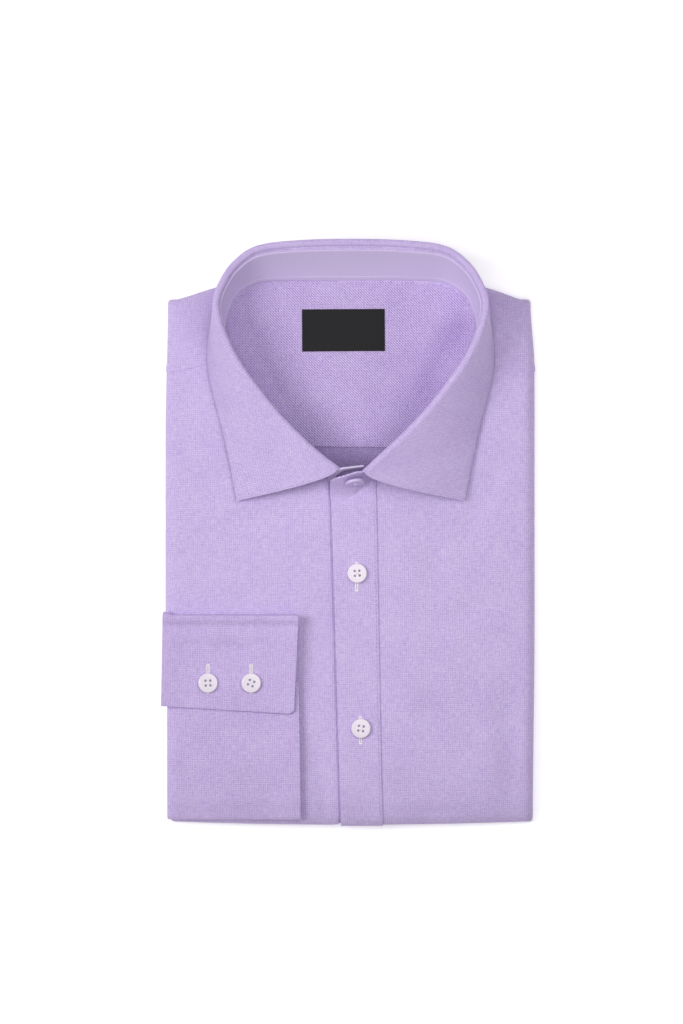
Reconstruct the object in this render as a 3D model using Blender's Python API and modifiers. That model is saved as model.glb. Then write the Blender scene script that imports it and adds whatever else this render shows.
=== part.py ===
"""A long-sleeve dress shirt in its retail fold, lying face up on a table.

Sizes are in millimetres and become metres when a mesh is built. X runs to the viewer's right across the
chest, Y towards the collar and Z up. The origin is the middle of the shirt's footprint on the table.
"""

import math
from collections import namedtuple

import bmesh
import bpy
from mathutils import Matrix, Vector

MM = 0.001

# Cloth
CLOTH = 1.2
GAP = 0.3
PLY = CLOTH + GAP
LAP = PLY + 0.2
CUFF_WALL = 1.3
LABEL_WALL = 0.8

# The folded body: its outline on the table and the height of its stack of layers
LEFT_EDGE = -112.3
RIGHT_EDGE = 115.5
SLEEVE_TUCK = 3.0
FOLD_EDGE = -177.2
FOLD_BOW = 2.2
SHOULDER_END_Y = 141.6
SHOULDER_SLOPE = 0.31
SHOULDER_TOP_Y = 157.0
STACK_SIDE = 14.5
STACK_CROWN = 5.5
NECK_SWELL = 3.8
SHOULDER_FALL = 4.0
EDGE_RADIUS = 6.5
CORNER_POWER = 6.0
WRAP_HEIGHT = 5.0

# Seams between the body's panels
YOKE_SEAM_Y = 105.5
YOKE_SEAM_DROP = 0.24
YOKE_SEAM_FLAT = 86.0
PLACKET_NECK_X = -10.4
PLACKET_FOLD_X = -4.0
PLACKET_WIDTH = 27.6
PLACKET_TAPER = 1.8
UNDERLAP = 19.0
LAP_ROOM = 1.8

# The collar ring
COLLAR_X = 2.0
ROLL_RADIUS = 1.9
STAND_SHARE = 0.84
LEAF_BULGE = 3.2
STEPS_PER_SECTION = 3

# The inside of the neck
LINING_FLOOR = 9.0
BACK_SEAM_Y = 53.0
HOLLOW_MARGIN = 1.2
LABEL_WIDTH = 51.0
LABEL_HEIGHT = 26.0
LABEL_CENTRE = (-2.5, 125.0)

# The cuff, a flattened barrel with its axis along X
CUFF_OPEN_X = -30.2
CUFF_SEAM_X = -106.0
FLAP_X = -114.6
CUFF_TOP_Y = -49.2
CUFF_LOW_Y = -176.3
FLAP_END_Y = -108.6
UNDER_END_Y = -92.0
SLEEVE_WALL = 2.6

# Buttons
BUTTON_RADIUS = 5.7
BUTTON_THICKNESS = 2.4
BUTTON_RIM = 1.1
BUTTON_DISH = 0.7
HOLE_RADIUS = 0.75
HOLE_PITCH = 2.6
FRONT_BUTTON_Y = (-24.8, -120.4)
CUFF_BUTTON_X = (-85.9, -59.3)
CUFF_BUTTON_Y = -92.4
NECK_BUTTON = (4.4, 27.9, 34.2)
NECK_BUTTON_TILT = 68.0

Section = namedtuple("Section", "seam_x seam_y roll_x roll_y roll_z edge_x edge_y edge_z")
BandEnd = namedtuple("BandEnd", "seam_x seam_y top_x top_y top_z")
RESTS = None

# Half of the collar, from the back's middle to the front, x from the collar's own middle. The seam is where
# the stand meets the body, the roll is the fold line and the edge is the leaf's outer edge. An edge that
# rests takes its height from the panel beneath.
COLLAR = (
    Section(0.0, 155.0, 0.0, 178.4, 45.5, 0.0, 178.2, 3.0),
    Section(30.0, 155.0, 32.0, 177.4, 45.5, 34.0, 177.6, 3.0),
    Section(54.0, 154.0, 57.0, 173.8, 45.8, 61.0, 173.0, 4.0),
    Section(66.0, 149.5, 70.0, 165.6, 46.2, 74.8, 162.4, 7.0),
    Section(73.0, 142.8, 77.4, 155.5, 46.4, 81.6, 149.5, 13.8),
    Section(77.3, 131.0, 80.4, 141.5, 46.0, 86.0, 131.0, RESTS),
    Section(77.3, 118.0, 77.4, 126.5, 45.6, 88.6, 113.0, RESTS),
    Section(73.0, 104.5, 69.8, 109.5, 45.1, 87.8, 98.5, RESTS),
    Section(64.5, 90.0, 58.3, 92.5, 44.6, 84.6, 84.0, RESTS),
    Section(53.5, 75.0, 46.0, 77.0, 44.2, 80.6, 69.0, RESTS),
    Section(40.5, 60.5, 33.0, 63.0, 43.8, 77.0, 54.0, RESTS),
    Section(27.0, 46.5, 20.0, 50.5, 43.4, 73.8, 38.5, RESTS),
    Section(13.5, 33.5, 9.0, 41.2, 43.0, 70.3, 19.6, RESTS),
)
# The stand's two buttoned ends, past the leaf: the upper end is on the wearer's left, the lower on the right
UPPER_END = (
    BandEnd(4.2, 27.4, 5.6, 38.0, 41.8),
    BandEnd(-3.6, 25.8, -1.6, 35.2, 40.4),
    BandEnd(-9.0, 25.4, -9.0, 32.6, 37.0),
    BandEnd(-10.8, 25.6, -11.4, 29.6, 32.0),
)
LOWER_END = (
    BandEnd(-3.0, 30.6, -2.0, 40.6, 42.6),
    BandEnd(6.0, 32.4, 6.0, 41.8, 42.6),
)


def smoothstep(low, high, value):
    """Rise smoothly from 0 at low to 1 at high."""
    share = min(1.0, max(0.0, (value - low) / (high - low)))
    return share * share * (3.0 - 2.0 * share)


def spread(low, high, count):
    """List count values at even steps from low to high."""
    return [low + (high - low) * index / (count - 1) for index in range(count)]


def look_up(pairs, value):
    """Read the second column at value of the first, by straight lines between rows sorted by the first."""
    if value <= pairs[0][0]:
        return pairs[0][1]
    for before, after in zip(pairs, pairs[1:]):
        if value <= after[0]:
            return before[1] + (after[1] - before[1]) * (value - before[0]) / (after[0] - before[0])
    return pairs[-1][1]


def smooth_run(points, steps):
    """Add steps - 1 points in each span of a run, on a smooth curve through the given points."""
    ends = [points[0] * 2.0 - points[1]] + list(points) + [points[-1] * 2.0 - points[-2]]
    run = []
    for index in range(len(points) - 1):
        before, start, stop, after = ends[index:index + 4]
        for step in range(steps):
            share = step / steps
            cubic = (start * 3.0 - before - stop * 3.0 + after) * share ** 3
            square = (before * 2.0 - start * 5.0 + stop * 4.0 - after) * share ** 2
            run.append((start * 2.0 + (stop - before) * share + square + cubic) * 0.5)
    run.append(points[-1].copy())
    return run


# Form of the folded body


def stack_height(x, y):
    """Height of the body's outer surface above the table, before its edges round off."""
    across = (x - COLLAR_X) / RIGHT_EDGE
    crown = STACK_SIDE + STACK_CROWN * (1.0 - across * across)
    swell = NECK_SWELL * math.exp(-((x - COLLAR_X) / 45.0) ** 2 - ((y - 25.0) / 50.0) ** 2)
    return crown + swell - SHOULDER_FALL * smoothstep(70.0, 155.0, y)


def left_edge(y):
    """The body's left outline, drawn in where the sleeve passes round it."""
    return LEFT_EDGE + SLEEVE_TUCK * smoothstep(-36.0, -50.0, y) + 1.4 * smoothstep(60.0, 140.0, y)


def right_edge(y):
    """The body's right outline, drawn in a little towards both ends."""
    return RIGHT_EDGE - 2.6 * smoothstep(100.0, 146.0, y) - 1.0 * smoothstep(-60.0, -175.0, y)


def fold_edge(x):
    """The lower outline, bowed out in the middle."""
    across = (x - COLLAR_X) / RIGHT_EDGE
    return FOLD_EDGE - FOLD_BOW * (1.0 - across * across)


def shoulder_edge(x):
    """The upper outline: a sloping shoulder on each side, level behind the neck."""
    inward = RIGHT_EDGE - abs(x - COLLAR_X)
    return min(SHOULDER_END_Y + SHOULDER_SLOPE * inward, SHOULDER_TOP_Y)


def yoke_seam(x):
    """The forward shoulder seam, which drops towards the arm."""
    return YOKE_SEAM_Y - YOKE_SEAM_DROP * max(0.0, abs(x - COLLAR_X) - YOKE_SEAM_FLAT)


def neck_front(x):
    """The neckline on the fronts: the collar's seam, from the shoulder to the middle."""
    rows = [(row.seam_x, row.seam_y) for row in reversed(COLLAR[7:])]
    return look_up([(0.0, 25.6)] + rows, abs(x - COLLAR_X))


def neck_back(x):
    """The neckline on the yoke: the collar's seam behind the neck."""
    rows = [(row.seam_x, row.seam_y) for row in COLLAR[:7]]
    return look_up(rows, abs(x - COLLAR_X))


def neck_half_width(y):
    """Half of the neck opening's width at one place along it."""
    rows = [(row.seam_y, row.seam_x) for row in reversed(COLLAR[2:])]
    return look_up([(25.6, 0.0)] + rows + [(155.2, 40.0)], y)


def round_edge(over, radius):
    """Bend a run of cloth over a rounded edge: how far out and how far down it ends."""
    angle = min(over / radius, math.pi / 2.0)
    straight = max(0.0, over - radius * math.pi / 2.0)
    return radius * math.sin(angle), radius * (1.0 - math.cos(angle)) + straight


def over_edges(x, y, over_x, over_y, sink=0.0):
    """Place cloth that runs past the flat top at x, y by over_x and over_y, round the body's edges.

    Args:
        x, y: where the flat top ends, or the point itself when nothing runs over.
        over_x, over_y: length of cloth past that place, with its sign.
        sink: how far below the body's outer surface the cloth lies.
    Returns:
        The point in millimetres.
    """
    over = (abs(over_x) ** CORNER_POWER + abs(over_y) ** CORNER_POWER) ** (1.0 / CORNER_POWER)
    if over == 0.0:
        return Vector((x, y, stack_height(x, y) - sink))
    out, drop = round_edge(over, EDGE_RADIUS - sink)
    end_x = x + out * over_x / over
    end_y = y + out * over_y / over
    return Vector((end_x, end_y, max(stack_height(end_x, end_y) - sink - drop, 1.6)))


def wrap_length(height):
    """Length of cloth from the start of a rounded edge down to the wrap's lower border."""
    return EDGE_RADIUS * math.pi / 2.0 + height - EDGE_RADIUS - WRAP_HEIGHT


# Building


def material(name, colour, roughness):
    """Make a Principled material from an sRGB colour in hexadecimal."""
    made = bpy.data.materials.new(name)
    made.use_nodes = True
    channels = [int(colour[place:place + 2], 16) / 255.0 for place in (0, 2, 4)]
    linear = [value / 12.92 if value <= 0.04045 else ((value + 0.055) / 1.055) ** 2.4 for value in channels]
    shader = made.node_tree.nodes["Principled BSDF"]
    shader.inputs["Base Color"].default_value = (*linear, 1.0)
    shader.inputs["Roughness"].default_value = roughness
    shader.inputs["Metallic"].default_value = 0.0
    made.diffuse_color = (*linear, 1.0)
    return made


def add_object(name, mesh, folder, colour, roughness=0.85):
    """Put a mesh in the shirt's collection as a named piece with its own material."""
    piece = bpy.data.objects.new(name, mesh)
    mesh.materials.append(material(name, colour, roughness))
    folder.objects.link(piece)
    return piece


def grid_mesh(name, rows):
    """Lay a grid of faces on rows of points, each row the same length."""
    model = bmesh.new()
    across = len(rows[0])
    bmesh.ops.create_grid(model, x_segments=across - 1, y_segments=len(rows) - 1, size=1.0)
    model.verts.ensure_lookup_table()
    for row_index, row in enumerate(rows):
        for column, point in enumerate(row):
            model.verts[row_index * across + column].co = point * MM
    mesh = bpy.data.meshes.new(name)
    model.to_mesh(mesh)
    model.free()
    return mesh


def add_wall(name, rows, folder, colour, thickness=CLOTH, offset=-1.0):
    """Make a cloth wall: an open surface through rows of points, thickened to one side."""
    piece = add_object(name, grid_mesh(name, rows), folder, colour)
    solidify = piece.modifiers.new("wall", "SOLIDIFY")
    solidify.thickness = thickness * MM
    solidify.offset = offset
    solidify.use_even_offset = True
    return piece


def ring_solid(name, rings):
    """Loft closed rings of points, from the bottom ring up to the top one, and close both ends."""
    model = bmesh.new()
    loops = []
    for ring in rings:
        loops.append([model.verts.new(point * MM) for point in ring])
    count = len(rings[0])
    for lower, upper in zip(loops, loops[1:]):
        for index in range(count):
            after = (index + 1) % count
            model.faces.new((lower[index], lower[after], upper[after], upper[index]))
    model.faces.new(list(reversed(loops[0])))
    model.faces.new(loops[-1])
    bmesh.ops.triangulate(model, faces=[face for face in model.faces if len(face.verts) > 4])
    mesh = bpy.data.meshes.new(name)
    model.to_mesh(mesh)
    model.free()
    return mesh


# The body's panels


def placket_edge(y):
    """The free edge of the upper front."""
    return look_up([(FOLD_EDGE, PLACKET_FOLD_X), (30.0, PLACKET_NECK_X)], y)


def placket_seam(y):
    """The placket's stitched side."""
    return placket_edge(y) + PLACKET_WIDTH - PLACKET_TAPER * smoothstep(30.0, FOLD_EDGE, y)


def lap_depth(x, y):
    """How far the lower front and the layers beneath dip under the upper front."""
    return LAP * smoothstep(placket_edge(y) - 4.4, placket_edge(y) - 1.0, x)


def front_rows(inner, outer, side, stations, sink):
    """Points of one front panel, from its lower wrap up to the yoke seam and the neckline.

    Args:
        inner: function of y that gives the panel's edge at the middle.
        outer: function of y that gives the body's outline on the panel's side.
        side: 1 for the viewer's right, -1 for the left.
        stations: shares of the way across, 0 at the middle and 1 where the side starts to round.
        sink: function of x and y that lowers the panel where it is lapped.
    Returns:
        Rows of points in millimetres, each from the left to the right.
    """
    wraps = spread(0.0, 1.0, 5)[1:]
    steps = [(wrap, 0.0) for wrap in reversed(wraps)] + [(0.0, share) for share in spread(0.0, 1.0, 15)]
    made = []
    for wrap_y, share_y in steps:
        row = []
        for share_x, wrap_x in [(share, 0.0) for share in stations] + [(1.0, wrap) for wrap in wraps]:
            low = FOLD_EDGE + EDGE_RADIUS
            probe = low + (60.0 - low) * share_y
            x = inner(probe) + (outer(probe) - side * EDGE_RADIUS - inner(probe)) * share_x
            low = fold_edge(x) + EDGE_RADIUS
            if abs(x - COLLAR_X) < COLLAR[7].seam_x:
                top = neck_front(x) + HOLLOW_MARGIN
            else:
                top = yoke_seam(x)
            y = low + (top - low) * share_y
            x = inner(y) + (outer(y) - side * EDGE_RADIUS - inner(y)) * share_x
            reach = wrap_length(stack_height(x, y))
            row.append(over_edges(x, y, side * wrap_x * reach, -wrap_y * reach, sink(x, y)))
        made.append(row if side > 0 else row[::-1])
    return made


def build_fronts(folder):
    """The two fronts, lapped at the middle, and the placket on the upper one."""
    stations = (0.0, 0.05, 0.11, 0.18, 0.27, 0.38, 0.5, 0.62, 0.74, 0.85, 0.93, 1.0)
    upper = front_rows(lambda y: placket_edge(y), right_edge, 1, stations, lambda x, y: 0.0)
    add_wall("front_left", upper, folder, "C9B7E3")
    stations = (0.0, 0.08, 0.13, 0.17, 0.21, 0.3, 0.42, 0.55, 0.68, 0.8, 0.9, 1.0)
    lower = front_rows(lambda y: placket_edge(y) + UNDERLAP, left_edge, -1, stations, lap_depth)
    add_wall("front_right", lower, folder, "C9B7E3")
    strip = []
    for step in (0.75, 0.5, 0.25):
        row = []
        for x in spread(placket_edge(FOLD_EDGE), placket_seam(FOLD_EDGE), 5):
            low = fold_edge(x) + EDGE_RADIUS
            reach = wrap_length(stack_height(x, low))
            row.append(over_edges(x, low, 0.0, -step * reach))
        strip.append(row)
    for share in spread(0.0, 1.0, 16):
        row = []
        for across in spread(0.0, 1.0, 5):
            y = fold_edge(0.0) + EDGE_RADIUS + (23.6 - fold_edge(0.0) - EDGE_RADIUS) * share
            x = placket_edge(y) + (placket_seam(y) - placket_edge(y)) * across
            row.append(over_edges(x, y, 0.0, 0.0))
        strip.append(row)
    placket = add_wall("front_placket", strip, folder, "CBB9E5", CLOTH, 1.0)
    lift_surface(placket, GAP)


def lift_surface(piece, height):
    """Move a surface out along its own normals, so that it lies clear of the panel that it is drawn on."""
    normals = [vertex.normal.copy() for vertex in piece.data.vertices]
    for vertex, normal in zip(piece.data.vertices, normals):
        vertex.co += normal * height * MM


def build_yoke(folder):
    """The outer yoke: from the forward seams over the shoulders' fold, and behind the neck."""
    half = COLLAR[6].seam_x
    outer_half = RIGHT_EDGE - COLLAR_X - EDGE_RADIUS
    right = [half + 1.6, half + 6.0, 92.0, 100.0, outer_half]
    inside = [0.0, 22.0, 42.0, 56.0, 65.0, 71.5, half - 0.8]
    places = [(-x, 0.0) for x in reversed(right)] + [(-x, 0.0) for x in reversed(inside[1:])]
    places += [(x, 0.0) for x in inside] + [(x, 0.0) for x in right]
    wraps = spread(0.0, 1.0, 4)[1:]
    places = [(-outer_half, -wrap) for wrap in reversed(wraps)] + places + [(outer_half, wrap) for wrap in wraps]
    rows = []
    for share, wrap_y in [(share, 0.0) for share in spread(0.0, 1.0, 7)] + [(1.0, wrap) for wrap in wraps]:
        row = []
        for away, wrap_x in places:
            x = COLLAR_X + away
            if abs(away) > half:
                low = yoke_seam(x) + GAP
            else:
                low = neck_back(x) - HOLLOW_MARGIN
            top = shoulder_edge(x) - EDGE_RADIUS
            if abs(away) <= half:
                top = max(top, low + 1.5)
            y = low + (top - low) * share
            if wrap_x > 0.0:
                x = right_edge(y) - EDGE_RADIUS
            elif wrap_x < 0.0:
                x = left_edge(y) + EDGE_RADIUS
            elif abs(away) > 90.0:
                edge = right_edge(y) - EDGE_RADIUS if away > 0.0 else left_edge(y) + EDGE_RADIUS
                x += (edge - COLLAR_X - math.copysign(outer_half, away)) * (abs(away) - 90.0) / (outer_half - 90.0)
            reach = wrap_length(stack_height(x, y))
            row.append(over_edges(x, y, wrap_x * reach, wrap_y * reach))
        rows.append(row)
    add_wall("yoke", rows, folder, "C2B0DC")


def lining_height(x, y):
    """Height of the cloth inside the neck: low in the middle, rising to the neckline at the back and sides."""
    half = max(neck_half_width(y), 1.0)
    side = smoothstep(0.45, 1.0, abs(x - COLLAR_X) / half)
    back = smoothstep(112.0, 155.0, y)
    rim = stack_height(x, y) - PLY - GAP
    return LINING_FLOOR + (rim - LINING_FLOOR) * max(side, back) * smoothstep(30.0, 110.0, y)


def build_inside(folder):
    """The yoke's inner layer, the back panel below it and the maker's label."""
    rows = []
    for y in spread(BACK_SEAM_Y, neck_back(COLLAR_X) - 2.2, 15):
        half = neck_half_width(y) - 1.0
        rows.append([Vector((COLLAR_X + half * share, y, lining_height(COLLAR_X + half * share, y)))
                     for share in spread(-1.0, 1.0, 15)])
    add_wall("yoke_lining", rows, folder, "B9A7D4")
    rows = []
    for y in spread(33.0, BACK_SEAM_Y - GAP, 5):
        half = neck_half_width(y) - 1.0
        rows.append([Vector((COLLAR_X + half * share, y, LINING_FLOOR - 0.4)) for share in spread(-1.0, 1.0, 7)])
    add_wall("back_panel", rows, folder, "9D8BB8")
    rows = []
    for y in spread(-LABEL_HEIGHT / 2.0, LABEL_HEIGHT / 2.0, 5):
        row = []
        for x in spread(-LABEL_WIDTH / 2.0, LABEL_WIDTH / 2.0, 9):
            place = (LABEL_CENTRE[0] + x, LABEL_CENTRE[1] + y)
            row.append(Vector((*place, lining_height(*place) + 0.9)))
        rows.append(row)
    add_wall("label", rows, folder, "232323", LABEL_WALL, 1.0)


# The collar


def collar_sections():
    """All sections of the collar, from the viewer's left front round the back to the right front."""
    halves = [(row, -1.0) for row in reversed(COLLAR[1:])] + [(row, 1.0) for row in COLLAR]
    sections = []
    for row, side in halves:
        seam_x = COLLAR_X + side * row.seam_x
        seam = Vector((seam_x, row.seam_y, stack_height(seam_x, row.seam_y) + GAP))
        roll = Vector((COLLAR_X + side * row.roll_x, row.roll_y, row.roll_z))
        edge_x = COLLAR_X + side * row.edge_x
        edge_z = row.edge_z
        if edge_z is RESTS:
            edge_z = stack_height(edge_x, row.edge_y) + GAP + CLOTH
        sections.append((seam, roll, Vector((edge_x, row.edge_y, edge_z))))
    return sections


def band_path(seam, top, count=5):
    """Points up the stand's outer face, with a slight outward bow."""
    rise = top - seam
    return [seam + rise * share for share in spread(0.0, 1.0, count)]


def leaf_path(seam, roll, edge):
    """Points on the leaf's outer face: up from the stand, over the roll and down to the outer edge."""
    up = (roll - seam).normalized()
    fall = edge - roll
    flat = Vector((fall.x, fall.y, 0.0))
    outward = Vector((roll.x - COLLAR_X, roll.y - 95.0, 0.0)).normalized()
    if flat.length > 6.0:
        outward = flat.normalized()
    crown = roll + outward * ROLL_RADIUS
    start = seam + (roll - seam) * STAND_SHARE + up * GAP
    path = [start]
    for angle in (10.0, 50.0, 90.0, 130.0):
        turn = math.radians(angle)
        path.append(crown - outward * math.cos(turn) * ROLL_RADIUS + Vector((0.0, 0.0, 1.0))
                    * (math.sin(turn) - 1.0) * ROLL_RADIUS)
    begin = path[-1]
    for share in (0.12, 0.3, 0.5, 0.7, 0.86, 1.0):
        bow = math.sin(math.pi * min(share * 0.9, 1.0)) * LEAF_BULGE * min(1.0, flat.length / 30.0)
        point = begin + (edge - begin) * share
        path.append(point + Vector((0.0, 0.0, bow)))
    return path


def columns_to_rows(paths):
    """Turn a list of paths into rows that run along the collar."""
    return [[path[index] for path in paths] for index in range(len(paths[0]))]


def build_collar(folder):
    """The stand, a band with two buttoned ends, and the leaf that folds over it."""
    sections = collar_sections()
    seams = smooth_run([section[0] for section in sections], STEPS_PER_SECTION)
    rolls = smooth_run([section[1] for section in sections], STEPS_PER_SECTION)
    edges = smooth_run([section[2] for section in sections], STEPS_PER_SECTION)
    band = []
    for end in reversed(LOWER_END):
        seam = Vector((end.seam_x, end.seam_y, stack_height(end.seam_x, end.seam_y) + GAP))
        band.append(band_path(seam, Vector((end.top_x, end.top_y, end.top_z))))
    for seam, roll in zip(seams, rolls):
        band.append(band_path(seam, seam + (roll - seam) * STAND_SHARE))
    for end in UPPER_END:
        seam = Vector((end.seam_x, end.seam_y, stack_height(end.seam_x, end.seam_y) + GAP + PLY))
        band.append(band_path(seam, Vector((end.top_x, end.top_y, end.top_z))))
    add_wall("collar_stand", columns_to_rows(band), folder, "BAA8D6", CLOTH, 0.0)
    leaf = [leaf_path(*section) for section in zip(seams, rolls, edges)]
    add_wall("collar_leaf", columns_to_rows(leaf), folder, "C6B4E0", CLOTH, -1.0)


# The hidden layers


def outline(inset, count_x=18, count_y=24):
    """The body's outline drawn in by inset, with close corners, anticlockwise from the lower left."""
    points = []
    corner = 3.0
    low_left = left_edge(FOLD_EDGE) + inset
    low_right = right_edge(FOLD_EDGE) - inset
    for x in spread(low_left + corner, low_right - corner, count_x):
        points.append((x, fold_edge(x) + inset + LAP_ROOM * lap_depth(x, FOLD_EDGE)))
    for y in spread(FOLD_EDGE + inset + corner, SHOULDER_END_Y - inset - corner, count_y):
        points.append((right_edge(y) - inset, y))
    top_left = left_edge(SHOULDER_END_Y) + inset
    top_right = right_edge(SHOULDER_END_Y) - inset
    for x in spread(top_right - corner, top_left + corner, count_x):
        points.append((x, shoulder_edge(x) - inset))
    for y in spread(SHOULDER_END_Y - inset - corner, FOLD_EDGE + inset + corner, count_y):
        points.append((left_edge(y) + inset, y))
    return points


def build_layers(folder, cutters):
    """The back, side folds, tail and far sleeve, pressed into one stack with lips at its edges."""
    skin = PLY + 0.3
    lips = ((3.4, 0.0), (1.4, 0.5), (0.5, 1.5), (1.7, 2.5), (0.6, 3.2), (2.0, 4.4))
    rings = [[Vector((x, y, z)) for x, y in outline(inset)] for inset, z in lips]
    radius = EDGE_RADIUS - skin
    for angle in (0.0, 30.0, 60.0, 90.0):
        turn = math.radians(angle)
        inset = skin + radius * (1.0 - math.cos(turn))
        ring = []
        for x, y in outline(inset):
            top = stack_height(x, y) - skin - LAP_ROOM * lap_depth(x, y)
            ring.append(Vector((x, y, top - radius * (1.0 - math.sin(turn)))))
        rings.append(ring)
    middle = Vector((COLLAR_X, -20.0, 0.0))
    for share in (0.9, 0.76, 0.6, 0.44, 0.3, 0.17, 0.06):
        ring = []
        for x, y in outline(EDGE_RADIUS):
            place = middle + (Vector((x, y, 0.0)) - middle) * share
            height = stack_height(place.x, place.y) - skin - LAP_ROOM * lap_depth(place.x, place.y)
            ring.append(Vector((place.x, place.y, height)))
        rings.append(ring)
    layers = add_object("folded_layers", ring_solid("folded_layers", rings), folder, "AE9CC9")
    right = [(COLLAR_X + row.seam_x, row.seam_y) for row in COLLAR]
    left = [(COLLAR_X - row.seam_x, row.seam_y) for row in reversed(COLLAR[1:])]
    plan = [(COLLAR_X, 24.0)] + [(COLLAR_X + 6.0, 27.5)] + right[::-1] + left[::-1] + [(COLLAR_X - 6.0, 27.5)]
    centre = Vector((COLLAR_X, 100.0, 0.0))
    loops = []
    for z in (LINING_FLOOR - CLOTH - 0.8, 60.0):
        loop = []
        for x, y in plan:
            away = Vector((x, y, 0.0)) - centre
            place = centre + away * (1.0 + HOLLOW_MARGIN / away.length)
            loop.append(Vector((place.x, place.y, z)))
        loops.append(loop)
    cutter = bpy.data.objects.new("neck_hollow", ring_solid("neck_hollow", loops))
    cutter.hide_render = True
    cutter.display_type = "WIRE"
    cutters.objects.link(cutter)
    cut = layers.modifiers.new("neck", "BOOLEAN")
    cut.operation = "DIFFERENCE"
    cut.solver = "EXACT"
    cut.object = cutter


# The cuff and the sleeve behind it


def cuff_path():
    """Round the flattened barrel, from the hidden lower end to the buttoned end.

    Returns:
        For each step of the path: y, height above the body and how far left the layer runs.
    """
    low = GAP + CUFF_WALL / 2.0
    step = CUFF_WALL + GAP
    turn = step / 2.0
    path = [(y, low + step, CUFF_SEAM_X) for y in spread(UNDER_END_Y, CUFF_LOW_Y + 3.0, 7)]
    for angle in (45.0, 90.0, 135.0):
        bend = math.radians(angle)
        path.append((CUFF_LOW_Y + 1.4 * (1.0 - math.sin(bend)), low + turn * (1.0 + math.cos(bend)), CUFF_SEAM_X))
    path += [(y, low, CUFF_SEAM_X) for y in spread(CUFF_LOW_Y + 3.0, CUFF_TOP_Y - 3.4, 10)]
    for angle, x in ((30.0, CUFF_SEAM_X), (90.0, (CUFF_SEAM_X + FLAP_X) / 2.0), (150.0, FLAP_X)):
        bend = math.radians(angle)
        path.append((CUFF_TOP_Y - 2.2 * (1.0 - math.sin(bend)), low + step * (1.0 - math.cos(bend)), x))
    path += [(y, low + 2.0 * step, FLAP_X) for y in spread(CUFF_TOP_Y - 3.4, FLAP_END_Y, 6)]
    return path


def build_cuff(folder):
    """The barrel cuff, flattened and lapped, and the sleeve that comes to it round the body's edge."""
    rows = []
    for share in spread(0.0, 1.0, 8):
        row = []
        for y, height, left in cuff_path():
            x = left + (CUFF_OPEN_X - left) * share
            row.append(Vector((x, y, stack_height(x, y) + height)))
        rows.append(row)
    add_wall("cuff", rows, folder, "C9B7E3", CUFF_WALL, 0.0)
    rows = []
    radius = EDGE_RADIUS + GAP
    for y in spread(CUFF_TOP_Y - 4.0, CUFF_LOW_Y + 2.0, 10):
        turn_x = left_edge(y) + EDGE_RADIUS
        turn_z = stack_height(turn_x, y) - EDGE_RADIUS
        row = []
        for angle in spread(math.degrees(math.acos((turn_x - CUFF_SEAM_X + 1.0) / radius)), 0.0, 6):
            bend = math.radians(angle)
            row.append(Vector((turn_x - radius * math.cos(bend), y, turn_z + radius * math.sin(bend))))
        for z in spread(turn_z - 2.0, 1.0, 3):
            row.append(Vector((turn_x - radius, y, z)))
        rows.append(row)
    add_wall("sleeve", rows, folder, "C4B2DE", SLEEVE_WALL, 1.0)


# Buttons


def button_mesh():
    """A four-hole button on its own axis, with its underside at the origin and a rim round a dished face."""
    profile = (
        (0.0, 0.0), (BUTTON_RADIUS - 0.8, 0.0), (BUTTON_RADIUS, 0.8), (BUTTON_RADIUS, BUTTON_THICKNESS - 0.6),
        (BUTTON_RADIUS - 0.5, BUTTON_THICKNESS), (BUTTON_RADIUS - BUTTON_RIM, BUTTON_THICKNESS),
        (BUTTON_RADIUS - BUTTON_RIM - 0.8, BUTTON_THICKNESS - BUTTON_DISH), (0.0, BUTTON_THICKNESS - BUTTON_DISH),
    )
    model = bmesh.new()
    points = [model.verts.new((radius * MM, 0.0, height * MM)) for radius, height in profile]
    edges = [model.edges.new(pair) for pair in zip(points, points[1:])]
    bmesh.ops.spin(model, geom=points + edges, cent=(0, 0, 0), axis=(0, 0, 1), angle=math.tau, steps=24)
    bmesh.ops.remove_doubles(model, verts=model.verts, dist=0.00001)
    bmesh.ops.recalc_face_normals(model, faces=model.faces)
    mesh = bpy.data.meshes.new("button")
    model.to_mesh(mesh)
    model.free()
    return mesh


def holes_mesh():
    """Four pins where the thread's holes go through a button."""
    model = bmesh.new()
    for quarter in range(4):
        angle = math.radians(45.0 + 90.0 * quarter)
        reach = HOLE_PITCH / math.sqrt(2.0) * MM
        place = Matrix.Translation((reach * math.cos(angle), reach * math.sin(angle), BUTTON_THICKNESS / 2.0 * MM))
        bmesh.ops.create_cone(model, cap_ends=True, segments=8, radius1=HOLE_RADIUS * MM,
                              radius2=HOLE_RADIUS * MM, depth=BUTTON_THICKNESS * 2.0 * MM, matrix=place)
    mesh = bpy.data.meshes.new("button_holes")
    model.to_mesh(mesh)
    model.free()
    return mesh


def add_button(name, place, folder, cutters, turn, tilt=0.0):
    """Add one button at a point in millimetres, turned on its axis and tilted towards the wearer's feet."""
    matrix = Matrix.Translation(Vector(place) * MM) @ Matrix.Rotation(math.radians(tilt), 4, "X")
    matrix = matrix @ Matrix.Rotation(math.radians(turn), 4, "Z")
    button = add_object(name, button_mesh(), folder, "E6DFE8", 0.35)
    button.matrix_world = matrix
    cutter = bpy.data.objects.new(name + "_holes", holes_mesh())
    cutter.matrix_world = matrix
    cutter.hide_render = True
    cutter.display_type = "WIRE"
    cutters.objects.link(cutter)
    cut = button.modifiers.new("holes", "BOOLEAN")
    cut.operation = "DIFFERENCE"
    cut.solver = "EXACT"
    cut.object = cutter
    return button


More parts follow.
